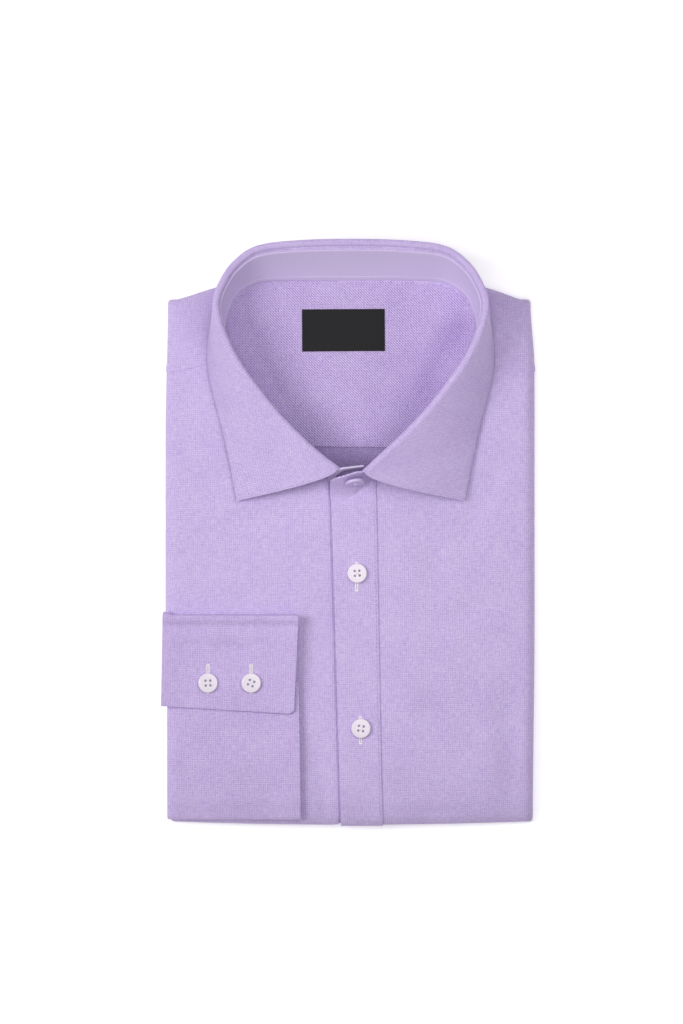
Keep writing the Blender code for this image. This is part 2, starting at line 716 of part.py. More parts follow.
def build_buttons(folder, cutters):
    """Two buttons on the placket, two on the cuff and one on the collar stand."""
    for number, y in enumerate(FRONT_BUTTON_Y, start=1):
        x = (placket_edge(y) + placket_seam(y)) / 2.0 + 1.0
        place = (x, y, stack_height(x, y) + GAP + CLOTH + GAP + 0.1)
        add_button(f"front_button_{number}", place, folder, cutters, 12.0 * number)
    for number, x in enumerate(CUFF_BUTTON_X, start=1):
        height = stack_height(x, CUFF_BUTTON_Y) + 3.0 * (CUFF_WALL + GAP) + GAP + 0.3
        add_button(f"cuff_button_{number}", (x, CUFF_BUTTON_Y, height), folder, cutters, -9.0 + 24.0 * number)
    add_button("neck_button", NECK_BUTTON, folder, cutters, 0.0, NECK_BUTTON_TILT)


def new_collection(name):
    """Make a collection in the scene."""
    folder = bpy.data.collections.new(name)
    bpy.context.scene.collection.children.link(folder)
    return folder


def main():
    """Clear the scene and build the shirt."""
    for thing in list(bpy.data.objects):
        bpy.data.objects.remove(thing, do_unlink=True)
    folder = new_collection("folded_dress_shirt")
    cutters = new_collection("cutters")
    build_layers(folder, cutters)
    build_fronts(folder)
    build_yoke(folder)
    build_inside(folder)
    build_collar(folder)
    build_cuff(folder)
    build_buttons(folder, cutters)


main()
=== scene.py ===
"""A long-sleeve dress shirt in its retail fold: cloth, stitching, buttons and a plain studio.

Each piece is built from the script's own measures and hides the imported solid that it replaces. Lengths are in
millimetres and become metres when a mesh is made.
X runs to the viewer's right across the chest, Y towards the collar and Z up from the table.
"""

import logging
import math
from collections.abc import Callable, Iterable, Sequence
from dataclasses import dataclass, field
from enum import Enum

import bmesh
import bpy
from mathutils import Matrix, Vector, noise


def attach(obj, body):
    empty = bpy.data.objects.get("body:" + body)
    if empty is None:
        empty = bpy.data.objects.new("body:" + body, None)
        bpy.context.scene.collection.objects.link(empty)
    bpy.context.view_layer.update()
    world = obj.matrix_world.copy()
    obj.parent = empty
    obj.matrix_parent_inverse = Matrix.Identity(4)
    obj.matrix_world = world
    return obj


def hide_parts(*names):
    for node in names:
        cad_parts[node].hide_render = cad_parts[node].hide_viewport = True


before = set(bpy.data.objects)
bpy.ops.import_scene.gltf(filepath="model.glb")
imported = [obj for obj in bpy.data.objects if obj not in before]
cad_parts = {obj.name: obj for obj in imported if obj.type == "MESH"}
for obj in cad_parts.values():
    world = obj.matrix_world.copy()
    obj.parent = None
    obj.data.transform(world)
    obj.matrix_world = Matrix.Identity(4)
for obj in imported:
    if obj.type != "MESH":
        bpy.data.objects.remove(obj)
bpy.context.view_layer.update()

LOG = logging.getLogger("dress_shirt")
MM = 0.001
# A Wave Texture draws its bands this many times closer along an axis, and along the diagonal.
AXIS_GAIN = 20.0
DIAGONAL_GAIN = 10.0

Point = tuple[Vector, tuple[float, float]]
Rows = list[list[Point]]


class Weave(Enum):
    """How a cloth's threads cross, as far as it shows."""

    OXFORD = "oxford"
    TWILL = "twill"
    POPLIN = "poplin"


class Side(Enum):
    """A side of the folded body, as the viewer sees it."""

    LEFT = -1
    RIGHT = 1


# Small tools


def to_linear(colour: str) -> tuple[float, float, float, float]:
    """Turn an sRGB colour in hexadecimal into linear light.

    Args:
        colour: six hexadecimal digits.
    Returns:
        Red, green, blue and an alpha of 1.
    """
    channels = [int(colour[place:place + 2], 16) / 255.0 for place in (0, 2, 4)]
    linear = [value / 12.92 if value <= 0.04045 else ((value + 0.055) / 1.055) ** 2.4 for value in channels]
    return (linear[0], linear[1], linear[2], 1.0)


def smoothstep(low: float, high: float, value: float) -> float:
    """Rise smoothly from 0 at low to 1 at high."""
    share = min(1.0, max(0.0, (value - low) / (high - low)))
    return share * share * (3.0 - 2.0 * share)


def spread(low: float, high: float, count: int) -> list[float]:
    """List count values at even steps from low to high."""
    return [low + (high - low) * index / (count - 1) for index in range(count)]


def look_up(pairs: Sequence[tuple[float, float]], value: float) -> float:
    """Read the second column at value of the first, by straight lines between sorted rows.

    Args:
        pairs: rows sorted by their first column.
        value: where to read.
    Returns:
        The second column there, held level past both ends.
    """
    if value <= pairs[0][0]:
        return pairs[0][1]
    for before, after in zip(pairs, pairs[1:]):
        if value <= after[0]:
            return before[1] + (after[1] - before[1]) * (value - before[0]) / (after[0] - before[0])
    return pairs[-1][1]


def smooth_run(points: Sequence[Vector], steps: int) -> list[Vector]:
    """Draw a smooth curve through points.

    Args:
        points: what the curve goes through.
        steps: how many points each span gets.
    Returns:
        The curve's points.
    """
    ends = [points[0] * 2.0 - points[1], *points, points[-1] * 2.0 - points[-2]]
    run = []
    for index in range(len(points) - 1):
        before, start, stop, after = ends[index:index + 4]
        for step in range(steps):
            share = step / steps
            cubic = (start * 3.0 - before - stop * 3.0 + after) * share ** 3
            square = (before * 2.0 - start * 5.0 + stop * 4.0 - after) * share ** 2
            run.append((start * 2.0 + (stop - before) * share + square + cubic) * 0.5)
    run.append(points[-1].copy())
    return run


def ripple(x: float, y: float, size: float, seed: float) -> float:
    """Give an uneven value from about -1 to 1 that changes over about size millimetres."""
    return 2.0 * noise.noise(Vector((x / size, y / size, seed)))


# Finishes


def add_node(tree: bpy.types.NodeTree, kind: str, settings: dict | None = None,
             links: dict | None = None) -> bpy.types.Node:
    """Add a shader node with its settings and what feeds it.

    Args:
        tree: the material's nodes.
        kind: the node's type name.
        settings: attributes by name, and input values by the input's name or number.
        links: output sockets by the name or number of the input that each feeds.
    Returns:
        The node.
    """
    made = tree.nodes.new(kind)
    for key, value in (settings or {}).items():
        if isinstance(key, str) and hasattr(made, key):
            setattr(made, key, value)
        else:
            made.inputs[key].default_value = value
    for key, socket in (links or {}).items():
        tree.links.new(socket, made.inputs[key])
    return made


def new_material(name: str) -> tuple[bpy.types.Material, bpy.types.NodeTree]:
    """Start a material with only its Principled shader and output.

    Args:
        name: what the material is called.
    Returns:
        The material and its nodes.
    """
    made = bpy.data.materials.new(name)
    made.use_nodes = True
    made.node_tree.nodes.clear()
    shader = add_node(made.node_tree, "ShaderNodeBsdfPrincipled")
    add_node(made.node_tree, "ShaderNodeOutputMaterial", links={"Surface": shader.outputs["BSDF"]})
    return made, made.node_tree


def dress(tree: bpy.types.NodeTree, colours: tuple[str, str], mix: bpy.types.NodeSocket, values: dict,
          relief: tuple[bpy.types.NodeSocket, float, float] | None = None) -> bpy.types.NodeSocket:
    """Give a material two mixed colours, its shader's constants and a raised pattern.

    Args:
        tree: the material's nodes.
        colours: the two sRGB colours.
        mix: 0 for the first colour, 1 for the second.
        values: the shader's constants by the input's name.
        relief: the pattern, its depth in millimetres and its strength, or none for a smooth face.
    Returns:
        The mixed colour.
    """
    shader = tree.nodes["Principled BSDF"]
    first, second = (to_linear(colour) for colour in colours)
    settings = {"data_type": "RGBA", 6: first, 7: second}
    mixed = add_node(tree, "ShaderNodeMix", settings, {"Factor": mix}).outputs[2]
    tree.links.new(mixed, shader.inputs["Base Color"])
    for name, value in values.items():
        shader.inputs[name].default_value = value
    if relief:
        pattern, depth_mm, strength = relief
        bump = add_node(tree, "ShaderNodeBump", {"Strength": strength, "Distance": depth_mm * MM},
                        {"Height": pattern})
        tree.links.new(bump.outputs["Normal"], shader.inputs["Normal"])
    return mixed


def wave_scale(pitch_mm: float, axis_gain: float = AXIS_GAIN) -> float:
    """Work out a Wave Texture's scale from its bands' spacing, on coordinates in metres."""
    return math.tau / (axis_gain * pitch_mm * MM)


@dataclass(frozen=True)
class CottonCloth:
    """Yarn-dyed cotton shirting: coloured warp over paler weft, with slubs that mottle it softly.

    The real threads are about 0.25 mm apart, too fine to show, so they are drawn at pitch_mm.
    """

    name: str
    warp: str = "AE95D0"
    weft: str = "DCCCF0"
    weave: Weave = Weave.OXFORD
    pitch_mm: float = 1.3
    relief_mm: float = 0.16
    slub: float = 0.75
    grain: float = 1.0
    mottle: float = 0.3
    contrast: float = 1.0
    roughness: float = 0.9
    sheen: float = 0.1

    def threads(self, tree: bpy.types.NodeTree, place: bpy.types.NodeSocket) -> bpy.types.NodeSocket:
        """Draw the crossing threads, with a diagonal for a twill.

        Args:
            tree: the material's nodes.
            place: the cloth's coordinates in metres.
        Returns:
            The threads' height, about 0.5 on average.
        """
        common = {"wave_profile": "SIN", "Distortion": 1.6, "Detail": 2.0, "Detail Scale": 1.3}
        waves = []
        for axis, pitch in (("X", self.pitch_mm), ("Y", self.pitch_mm * 0.92)):
            waves.append(add_node(tree, "ShaderNodeTexWave",
                                  {**common, "bands_direction": axis, "Scale": wave_scale(pitch)},
                                  {"Vector": place}).outputs["Fac"])
        cross = add_node(tree, "ShaderNodeMix", {"Factor": 0.5}, {2: waves[0], 3: waves[1]}).outputs[0]
        if self.weave is Weave.POPLIN:
            return cross
        slanted = {**common, "bands_direction": "DIAGONAL",
                   "Scale": wave_scale(self.pitch_mm, DIAGONAL_GAIN)}
        diagonal = add_node(tree, "ShaderNodeTexWave", slanted, {"Vector": place}).outputs["Fac"]
        share = 0.75 if self.weave is Weave.TWILL else 0.45
        return add_node(tree, "ShaderNodeMix", {"Factor": share}, {2: cross, 3: diagonal}).outputs[0]

    def material(self) -> bpy.types.Material:
        """Build the cloth's material on the piece's own UV map, which is in metres of cloth.

        Returns:
            The material.
        """
        made, tree = new_material(self.name)
        place = add_node(tree, "ShaderNodeUVMap", {"uv_map": "cloth"}).outputs["UV"]
        tone = self.threads(tree, place)
        # Slubs 5 mm long and 0.9 mm thick each way, grain of 0.8 mm, and a mottle of 22 mm.
        parts = [((210.0, 1150.0, 1.0), self.slub), ((1150.0, 210.0, 1.0), self.slub),
                 ((1250.0, 1250.0, 1.0), self.grain), ((45.0, 45.0, 1.0), self.mottle)]
        for stretch, share in parts:
            turned = add_node(tree, "ShaderNodeMapping", {"Scale": stretch}, {"Vector": place})
            streak = add_node(tree, "ShaderNodeTexNoise", {"Scale": 1.0, "Detail": 1.0, "Roughness": 0.5},
                              {"Vector": turned.outputs["Vector"]})
            tone = add_node(tree, "ShaderNodeMath", {"operation": "MULTIPLY_ADD", 1: share},
                            {0: streak.outputs["Fac"], 2: tone}).outputs[0]
        middle = 0.5 * (1.0 + sum(share for _, share in parts))
        reach = 0.62 / self.contrast
        shade = add_node(tree, "ShaderNodeMapRange", {"From Min": middle - reach, "From Max": middle + reach},
                         {"Value": tone})
        dress(tree, (self.warp, self.weft), shade.outputs["Result"],
              {"Roughness": self.roughness, "Sheen Weight": self.sheen, "Sheen Roughness": 0.5,
               "Specular IOR Level": 0.3}, (tone, self.relief_mm, 1.0))
        return made


@dataclass(frozen=True)
class ButtonPolyester:
    """Cast and tumbled polyester with a faint pearl cloud, which gives a soft even gloss."""

    name: str = "cast polyester button"
    body: str = "E9E1EA"
    cloud: str = "E0D6E4"

    def material(self) -> bpy.types.Material:
        """Build the button's material on Object coordinates.

        Returns:
            The material.
        """
        made, tree = new_material(self.name)
        place = add_node(tree, "ShaderNodeTexCoord").outputs["Object"]
        cloud = add_node(tree, "ShaderNodeTexNoise", {"Scale": 420.0, "Detail": 3.0, "Distortion": 1.5},
                         {"Vector": place})
        dress(tree, (self.body, self.cloud), cloud.outputs["Fac"],
              {"Roughness": 0.32, "IOR": 1.54, "Subsurface Weight": 0.08,
               "Subsurface Radius": (0.0012, 0.001, 0.0012), "Coat Weight": 0.15})
        return made


@dataclass(frozen=True)
class SewingThread:
    """Twisted polyester-cotton thread: a slight lustre and plies that wind round it."""

    name: str
    colour: str
    shade: str
    ply_mm: float = 0.35

    def material(self) -> bpy.types.Material:
        """Build the thread's material on Object coordinates.

        Returns:
            The material.
        """
        made, tree = new_material(self.name)
        place = add_node(tree, "ShaderNodeTexCoord").outputs["Object"]
        plies = add_node(tree, "ShaderNodeTexWave",
                         {"bands_direction": "DIAGONAL", "Distortion": 0.6,
                          "Scale": wave_scale(self.ply_mm, DIAGONAL_GAIN)},
                         {"Vector": place}).outputs["Fac"]
        dress(tree, (self.shade, self.colour), plies, {"Roughness": 0.6, "Sheen Weight": 0.2},
              (plies, 0.05, 0.6))
        return made


@dataclass(frozen=True)
class LabelSatin:
    """Black damask-woven polyester satin: very dark, with fine ribs that catch a little light."""

    name: str = "woven label satin"
    ground: str = "151516"
    rib: str = "1E1E20"
    rib_mm: float = 0.8

    def material(self) -> bpy.types.Material:
        """Build the label's material on its UV map.

        Returns:
            The material.
        """
        made, tree = new_material(self.name)
        place = add_node(tree, "ShaderNodeUVMap", {"uv_map": "cloth"}).outputs["UV"]
        ribs = add_node(tree, "ShaderNodeTexWave",
                        {"bands_direction": "Y", "Scale": wave_scale(self.rib_mm), "Distortion": 0.5},
                        {"Vector": place}).outputs["Fac"]
        dress(tree, (self.ground, self.rib), ribs, {"Roughness": 0.7, "Specular IOR Level": 0.25},
              (ribs, 0.05, 0.7))
        return made


@dataclass(frozen=True)
class Wardrobe:
    """All finishes of the shirt, each built once."""

    body: bpy.types.Material = field(default_factory=CottonCloth("pinpoint oxford cotton").material)
    pressed: bpy.types.Material = field(default_factory=CottonCloth(
        "fused oxford cotton", warp="AA91CC", weft="D7C6EB", pitch_mm=1.4).material)
    leaf: bpy.types.Material = field(default_factory=CottonCloth(
        "fused collar oxford", warp="AA91CC", weft="D9C9ED", pitch_mm=1.2, slub=0.55, contrast=1.15).material)
    # The inner yoke's twill is its own weave; its darker warp is partly painted shade inside the collar ring.
    inner: bpy.types.Material = field(default_factory=CottonCloth(
        "inner yoke twill with painted shade", warp="9C81BF", weft="D9C8ED", weave=Weave.TWILL, pitch_mm=1.7,
        relief_mm=0.22, slub=0.4, grain=0.8, contrast=1.3).material)
    # The inner back's darker colours are painted shade for the deep slot below the inner yoke.
    hidden: bpy.types.Material = field(default_factory=CottonCloth(
        "inner back oxford with painted shade", warp="957CB5", weft="C4B2DC", weave=Weave.TWILL, pitch_mm=1.7).material)
    # The stand's poplin weave is its own; its paler colours are partly painted light on the stand's inner face.
    smooth: bpy.types.Material = field(default_factory=CottonCloth(
        "inner stand poplin with painted light", warp="C6B5DD", weft="DACCEB", weave=Weave.POPLIN, pitch_mm=0.9,
        relief_mm=0.03, slub=0.25, grain=0.2, contrast=0.6).material)
    thread: bpy.types.Material = field(default_factory=SewingThread(
        "lilac sewing thread", "BBA5D8", "A790C7").material)
    pale: bpy.types.Material = field(default_factory=SewingThread(
        "pale lilac sewing thread", "EFE6F9", "DFD2EF").material)
    white: bpy.types.Material = field(default_factory=SewingThread(
        "white buttonhole thread", "F7F4F2", "E9E4EA").material)
    # The neck button's lilac tone is painted shade where it sits tilted under the collar band.
    lilac: bpy.types.Material = field(default_factory=ButtonPolyester(
        "neck button with painted shade", "CDBBE3", "C2AEDC").material)
    button: bpy.types.Material = field(default_factory=ButtonPolyester().material)
    label: bpy.types.Material = field(default_factory=LabelSatin().material)


# Making pieces


def finish_piece(model: bmesh.types.BMesh, name: str, material: bpy.types.Material) -> bpy.types.Object:
    """Turn a bmesh in metres into a smooth object in the scene, and free the bmesh.

    Args:
        model: the finished bmesh.
        name: what the piece is called.
        material: its finish.
    Returns:
        The object, which rides on the shirt's one body.
    """
    mesh = bpy.data.meshes.new(name)
    model.to_mesh(mesh)
    model.free()
    mesh.materials.append(material)
    mesh.shade_smooth()
    piece = bpy.data.objects.new(name, mesh)
    bpy.context.scene.collection.objects.link(piece)
    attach(piece, "root")
    return piece


def stands_for(piece: bpy.types.Object, node: str) -> None:
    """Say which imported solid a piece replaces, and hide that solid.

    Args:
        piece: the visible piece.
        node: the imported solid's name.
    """
    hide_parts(node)
    LOG.info("%s stands for %s", piece.name, node)


def cloth_piece(name: str, rows: Rows, material: bpy.types.Material, thickness: float, offset: float = -1.0,
                edge: float = 0.0, levels: int = 1) -> bpy.types.Object:
    """Lay a grid on rows of points and give it a cloth's thickness.

    Args:
        name: what the piece is called.
        rows: points with their place on the cut cloth, both in millimetres.
        material: its finish, which reads the "cloth" UV map.
        thickness: the wall in millimetres.
        offset: -1 to thicken below the points, 1 above, 0 both ways.
        edge: radius of the rounded border in millimetres, or 0 for a plain one.
        levels: levels of subdivision.
    Returns:
        The piece.
    """
    model = bmesh.new()
    across = len(rows[0])
    bmesh.ops.create_grid(model, x_segments=across - 1, y_segments=len(rows) - 1, size=1.0)
    model.verts.ensure_lookup_table()
    layer = model.loops.layers.uv.new("cloth")
    flat = [point for row in rows for point in row]
    for vertex, (place, cloth) in zip(model.verts, flat):
        vertex.co = place * MM
        for loop in vertex.link_loops:
            loop[layer].uv = (cloth[0] * MM, cloth[1] * MM)
    piece = finish_piece(model, name, material)
    if levels:
        soften = piece.modifiers.new("soften", "SUBSURF")
        soften.levels = levels
        soften.render_levels = levels
        soften.boundary_smooth = "PRESERVE_CORNERS"
    wall = piece.modifiers.new("wall", "SOLIDIFY")
    wall.thickness = thickness * MM
    wall.offset = offset
    wall.use_even_offset = True
    if edge:
        border = piece.modifiers.new("border", "BEVEL")
        border.width = edge * MM
        border.segments = 2
        border.limit_method = "ANGLE"
        border.angle_limit = math.radians(60.0)
    return piece


def lift(rows: Rows, height: float) -> Rows:
    """Move rows of points straight up by a height in millimetres."""
    return [[(place + Vector((0.0, 0.0, height)), cloth) for place, cloth in row] for row in rows]


def along(path: Sequence[Vector], spacing: float) -> list[tuple[Vector, Vector]]:
    """Walk a path in even steps.

    Args:
        path: the points to pass.
        spacing: the step's length in millimetres.
    Returns:
        For each step, its place and the direction of travel.
    """
    found = []
    left = spacing / 2.0
    for start, stop in zip(path, path[1:]):
        span = (stop - start).length
        while left <= span:
            found.append((start.lerp(stop, left / span), (stop - start).normalized()))
            left += spacing
        left -= span
    return found


def stitch_row(name: str, stitches: Iterable[tuple[Vector, Vector]], length: float, radius: float,
               material: bpy.types.Material, sides: int = 6) -> bpy.types.Object:
    """Join many short stitches into one piece.

    Args:
        name: what the piece is called.
        stitches: the middle and direction of each, in millimetres.
        length: how long each stitch is.
        radius: half of the thread's thickness.
        material: the thread's finish.
        sides: how round each stitch is.
    Returns:
        The piece.
    """
    model = bmesh.new()
    for middle, direction in stitches:
        turn = direction.to_track_quat("X", "Z").to_matrix().to_4x4()
        shape = Matrix.Diagonal((length / 2.0, radius, radius, 1.0))
        place = Matrix.Scale(MM, 4) @ Matrix.Translation(middle) @ turn @ shape
        bmesh.ops.create_uvsphere(model, u_segments=sides, v_segments=5, radius=1.0,
                                  matrix=place @ Matrix.Rotation(math.pi / 2.0, 4, "Y"))
    return finish_piece(model, name, material)


def ring_piece(name: str, rings: Sequence[Sequence[Vector]],
               material: bpy.types.Material) -> bpy.types.Object:
    """Grow a closed form ring by ring from a circle, and close its first and last ring.

    Args:
        name: what the piece is called.
        rings: rings of equally many points in millimetres, anticlockwise from above, the lowest first.
        material: its finish, which reads the "cloth" UV map.
    Returns:
        The piece.
    """
    model = bmesh.new()
    count = len(rings[0])
    loop = bmesh.ops.create_circle(model, cap_ends=False, segments=count, radius=1.0)["verts"]
    cloth: dict[bmesh.types.BMVert, tuple[float, float]] = {}
    edges = list(model.edges)
    travelled = 0.0
    for number, ring in enumerate(rings):
        if number:
            grown = bmesh.ops.extrude_edge_only(model, edges=edges)["geom"]
            fresh = {part for part in grown if isinstance(part, bmesh.types.BMVert)}
            edges = [part for part in grown if isinstance(part, bmesh.types.BMEdge)
                     and all(vertex in fresh for vertex in part.verts)]
            loop = [next(edge.other_vert(vertex) for edge in vertex.link_edges
                         if edge.other_vert(vertex) in fresh) for vertex in loop]
            travelled += (ring[0] - rings[number - 1][0]).length
        turned = 0.0
        for index, (vertex, place) in enumerate(zip(loop, ring)):
            vertex.co = place * MM
            turned += (place - ring[index - 1]).length if index else 0.0
            cloth[vertex] = (turned, travelled)
    bmesh.ops.holes_fill(model, edges=[edge for edge in model.edges if edge.is_boundary], sides=0)
    bmesh.ops.recalc_face_normals(model, faces=model.faces)
    layer = model.loops.layers.uv.new("cloth")
    for face in model.faces:
        for corner in face.loops:
            corner[layer].uv = (cloth[corner.vert][0] * MM, cloth[corner.vert][1] * MM)
    return finish_piece(model, name, material)


# The folded body's form


@dataclass(frozen=True)
class Ramp:
    """A measure that is 0 before start and rises smoothly to amount at stop."""

    start: float
    stop: float
    amount: float

    def at(self, value: float) -> float:
        """Read the measure at one place."""
        return self.amount * smoothstep(self.start, self.stop, value)


@dataclass
class FoldedForm:
    """The outline and height of the folded body, which all panels follow."""

    left: float = -112.3
    right: float = 115.5
    middle: float = 2.0
    low: float = -178.0
    bow: float = 2.2
    shoulder_end: float = 141.6
    shoulder_slope: float = 0.31
    shoulder_top: float = 157.0
    sleeve_tuck: Ramp = Ramp(-52.0, -70.0, 3.0)
    left_taper: Ramp = Ramp(60.0, 140.0, 1.4)
    right_taper: Ramp = Ramp(100.0, 146.0, 2.6)
    right_hem_taper: Ramp = Ramp(-60.0, -175.0, 1.0)
    side_height: float = 14.5
    crown: float = 5.5
    swell: float = 3.8
    swell_y: float = 25.0
    swell_size: tuple[float, float] = (45.0, 50.0)
    back_fall: Ramp = Ramp(70.0, 155.0, 4.0)
    hem_fall: Ramp = Ramp(-138.0, -186.0, 3.2)
    hem_turn: Ramp = Ramp(-164.0, -179.0, 2.8)
    edge_radius: float = 6.5
    corner_power: float = 6.0
    wrap_height: float = 4.6
    lowest: float = 1.2
    placket_neck: float = -10.4
    placket_fold: float = -4.0
    placket_width: float = 27.6
    placket_taper: float = 1.8
    yoke_seam_y: float = 105.5
    yoke_drop: float = 0.24
    yoke_flat: float = 86.0

    def height(self, x: float, y: float) -> float:
        """Shape the body's outer surface: crowned across, swollen at the chest, falling at both ends.

        Args:
            x, y: the place.
        Returns:
            The height above the table.
        """
        across = (x - self.middle) / self.right
        crown = self.side_height + self.crown * (1.0 - across * across)
        wide, long = self.swell_size
        swell = self.swell * math.exp(-((x - self.middle) / wide) ** 2 - ((y - self.swell_y) / long) ** 2)
        return crown + swell - self.back_fall.at(y) - (self.hem_fall.at(y) + self.hem_turn.at(y))

    def left_edge(self, y: float) -> float:
        """The left outline, drawn in where the sleeve passes round it."""
        return self.left + self.sleeve_tuck.at(y) + self.left_taper.at(y)

    def right_edge(self, y: float) -> float:
        """The right outline, drawn in a little towards both ends."""
        return self.right - self.right_taper.at(y) - self.right_hem_taper.at(y)

    def fold_edge(self, x: float) -> float:
        """The lower outline, bowed out in the middle."""
        across = (x - self.middle) / self.right
        return self.low - self.bow * (1.0 - across * across)

    def shoulder_edge(self, x: float) -> float:
        """The upper outline: a sloping shoulder on each side, level behind the neck."""
        away = self.right - abs(x - self.middle)
        return min(self.shoulder_end + self.shoulder_slope * away, self.shoulder_top)

    def yoke_seam(self, x: float) -> float:
        """The forward shoulder seam, which drops towards the arm."""
        return self.yoke_seam_y - self.yoke_drop * max(0.0, abs(x - self.middle) - self.yoke_flat)

    def placket_edge(self, y: float) -> float:
        """The free edge of the upper front."""
        return look_up([(self.low, self.placket_fold), (30.0, self.placket_neck)], y)

    def placket_seam(self, y: float) -> float:
        """The placket's stitched side."""
        return self.placket_edge(y) + self.placket_width - self.placket_taper * smoothstep(30.0, self.low, y)

    def side_edge(self, side: Side, y: float) -> float:
        """The outline on one side."""
        return self.left_edge(y) if side is Side.LEFT else self.right_edge(y)

    def relief(self, x: float, y: float) -> float:
        """Soft, uneven swells and dents of pressed cloth over a stack of layers."""
        return 0.6 * ripple(x, y * 0.6, 62.0, 3.1) + 0.28 * ripple(x * 0.8, y, 27.0, 8.4)

    def place(self, x: float, y: float, over_x: float = 0.0, over_y: float = 0.0, sink: float = 0.0,
              extra: float = 0.0) -> Point:
        """Place cloth on the body, or round its edges.

        Args:
            x, y: where the flat top ends, or the point itself when nothing runs over.
            over_x, over_y: length of cloth past that place, with its sign.
            sink: how far below the outer surface the cloth lies.
            extra: how much a crease lifts it.
        Returns:
            The point and its place on the cut cloth.
        """
        cloth = (x + over_x, y + over_y)
        power = self.corner_power
        over = (abs(over_x) ** power + abs(over_y) ** power) ** (1.0 / power)
        if over == 0.0:
            return Vector((x, y, self.height(x, y) - sink + extra)), cloth
        radius = self.edge_radius - sink
        angle = min(over / radius, math.pi / 2.0)
        down = max(0.0, over - radius * math.pi / 2.0)
        out = radius * math.sin(angle)
        end_x = x + out * over_x / over
        end_y = y + out * over_y / over
        height = self.height(end_x, end_y) - sink - radius * (1.0 - math.cos(angle)) - down + extra
        return Vector((end_x, end_y, max(height, self.lowest))), cloth

    def wrap(self, x: float, y: float) -> float:
        """Length of cloth from the start of a rounded edge to the wrap's lower border."""
        return self.edge_radius * (math.pi / 2.0 - 1.0) + self.height(x, y) - self.wrap_height


@dataclass(frozen=True)
class Crease:
    """One soft crease: a trough, or with a negative depth a ridge, along a short line."""

    start: tuple[float, float]
    stop: tuple[float, float]
    width: float
    depth: float

    def drop(self, x: float, y: float) -> float:
        """Work out how far the cloth sinks at a place, fading at the crease's sides and ends.

        Args:
            x, y: the place.
        Returns:
            The depth in millimetres.
        """
        run = (self.stop[0] - self.start[0], self.stop[1] - self.start[1])
        length = math.hypot(*run)
        share = ((x - self.start[0]) * run[0] + (y - self.start[1]) * run[1]) / length ** 2
        aside = ((x - self.start[0]) * run[1] - (y - self.start[1]) * run[0]) / length
        fade = smoothstep(0.0, 0.35, share) * smoothstep(1.0, 0.65, share)
        return self.depth * fade * math.exp(-(aside / self.width) ** 2)


# The collar's run


@dataclass(frozen=True)
class CollarRow:
    """One section of the collar's half, x from the collar's middle; no edge height means that it rests.

    The roll lies lower by skew on the right side, and higher by as much on the left.
    """

    seam: tuple[float, float]
    roll: tuple[float, float, float]
    edge: tuple[float, float]
    edge_height: float | None = None
    skew: float = 0.0


COLLAR = (
    CollarRow((0.0, 156.0), (0.0, 176.0, 44.8), (0.0, 177.6), 3.0),
    CollarRow((30.0, 156.0), (32.0, 175.2, 44.8), (33.0, 176.8), 3.0),
    CollarRow((54.0, 155.0), (56.0, 172.2, 45.0), (58.0, 173.0), 4.0),
    CollarRow((66.0, 150.2), (68.4, 164.2, 45.3), (71.4, 162.8), 7.0),
    CollarRow((73.0, 143.0), (75.8, 154.2, 45.4), (79.6, 149.6), 12.0),
    CollarRow((77.3, 131.0), (80.4, 141.5, 46.0), (86.0, 131.0)),
    CollarRow((77.3, 118.0), (77.4, 126.5, 45.6), (88.6, 113.0)),
    CollarRow((73.0, 104.5), (69.8, 109.5, 45.1), (87.8, 98.5)),
    CollarRow((64.5, 90.0), (58.3, 92.5, 44.6), (84.6, 84.0)),
    CollarRow((53.5, 75.0), (46.0, 77.0, 44.2), (80.6, 69.0)),
    CollarRow((40.5, 60.5), (33.0, 63.0, 43.8), (77.0, 54.0)),
    CollarRow((26.5, 46.0), (19.0, 49.8, 43.4), (73.8, 38.5)),
    CollarRow((11.5, 31.4), (7.0, 39.6, 43.0), (70.3, 19.6), None, 1.1),
)


@dataclass
class Neckline:
    """The seam between collar and body, and the neck opening inside it."""

    form: FoldedForm
    tip: float = 25.6

    def front(self, x: float) -> float:
        """The neckline on the fronts, from the shoulder to the middle."""
        rows = [row.seam for row in reversed(COLLAR[7:])]
        return look_up([(0.0, self.tip), *rows], abs(x - self.form.middle))

    def back(self, x: float) -> float:
        """The neckline on the yoke, behind the neck."""
        return look_up([row.seam for row in COLLAR[:7]], abs(x - self.form.middle))

    def half_width(self, y: float) -> float:
        """Half of the opening's width at one place along it."""
        rows = [(row.seam[1], row.seam[0]) for row in reversed(COLLAR[2:])]
        return look_up([(self.tip, 0.0), *rows, (155.2, 40.0)], y)


# The body's panels


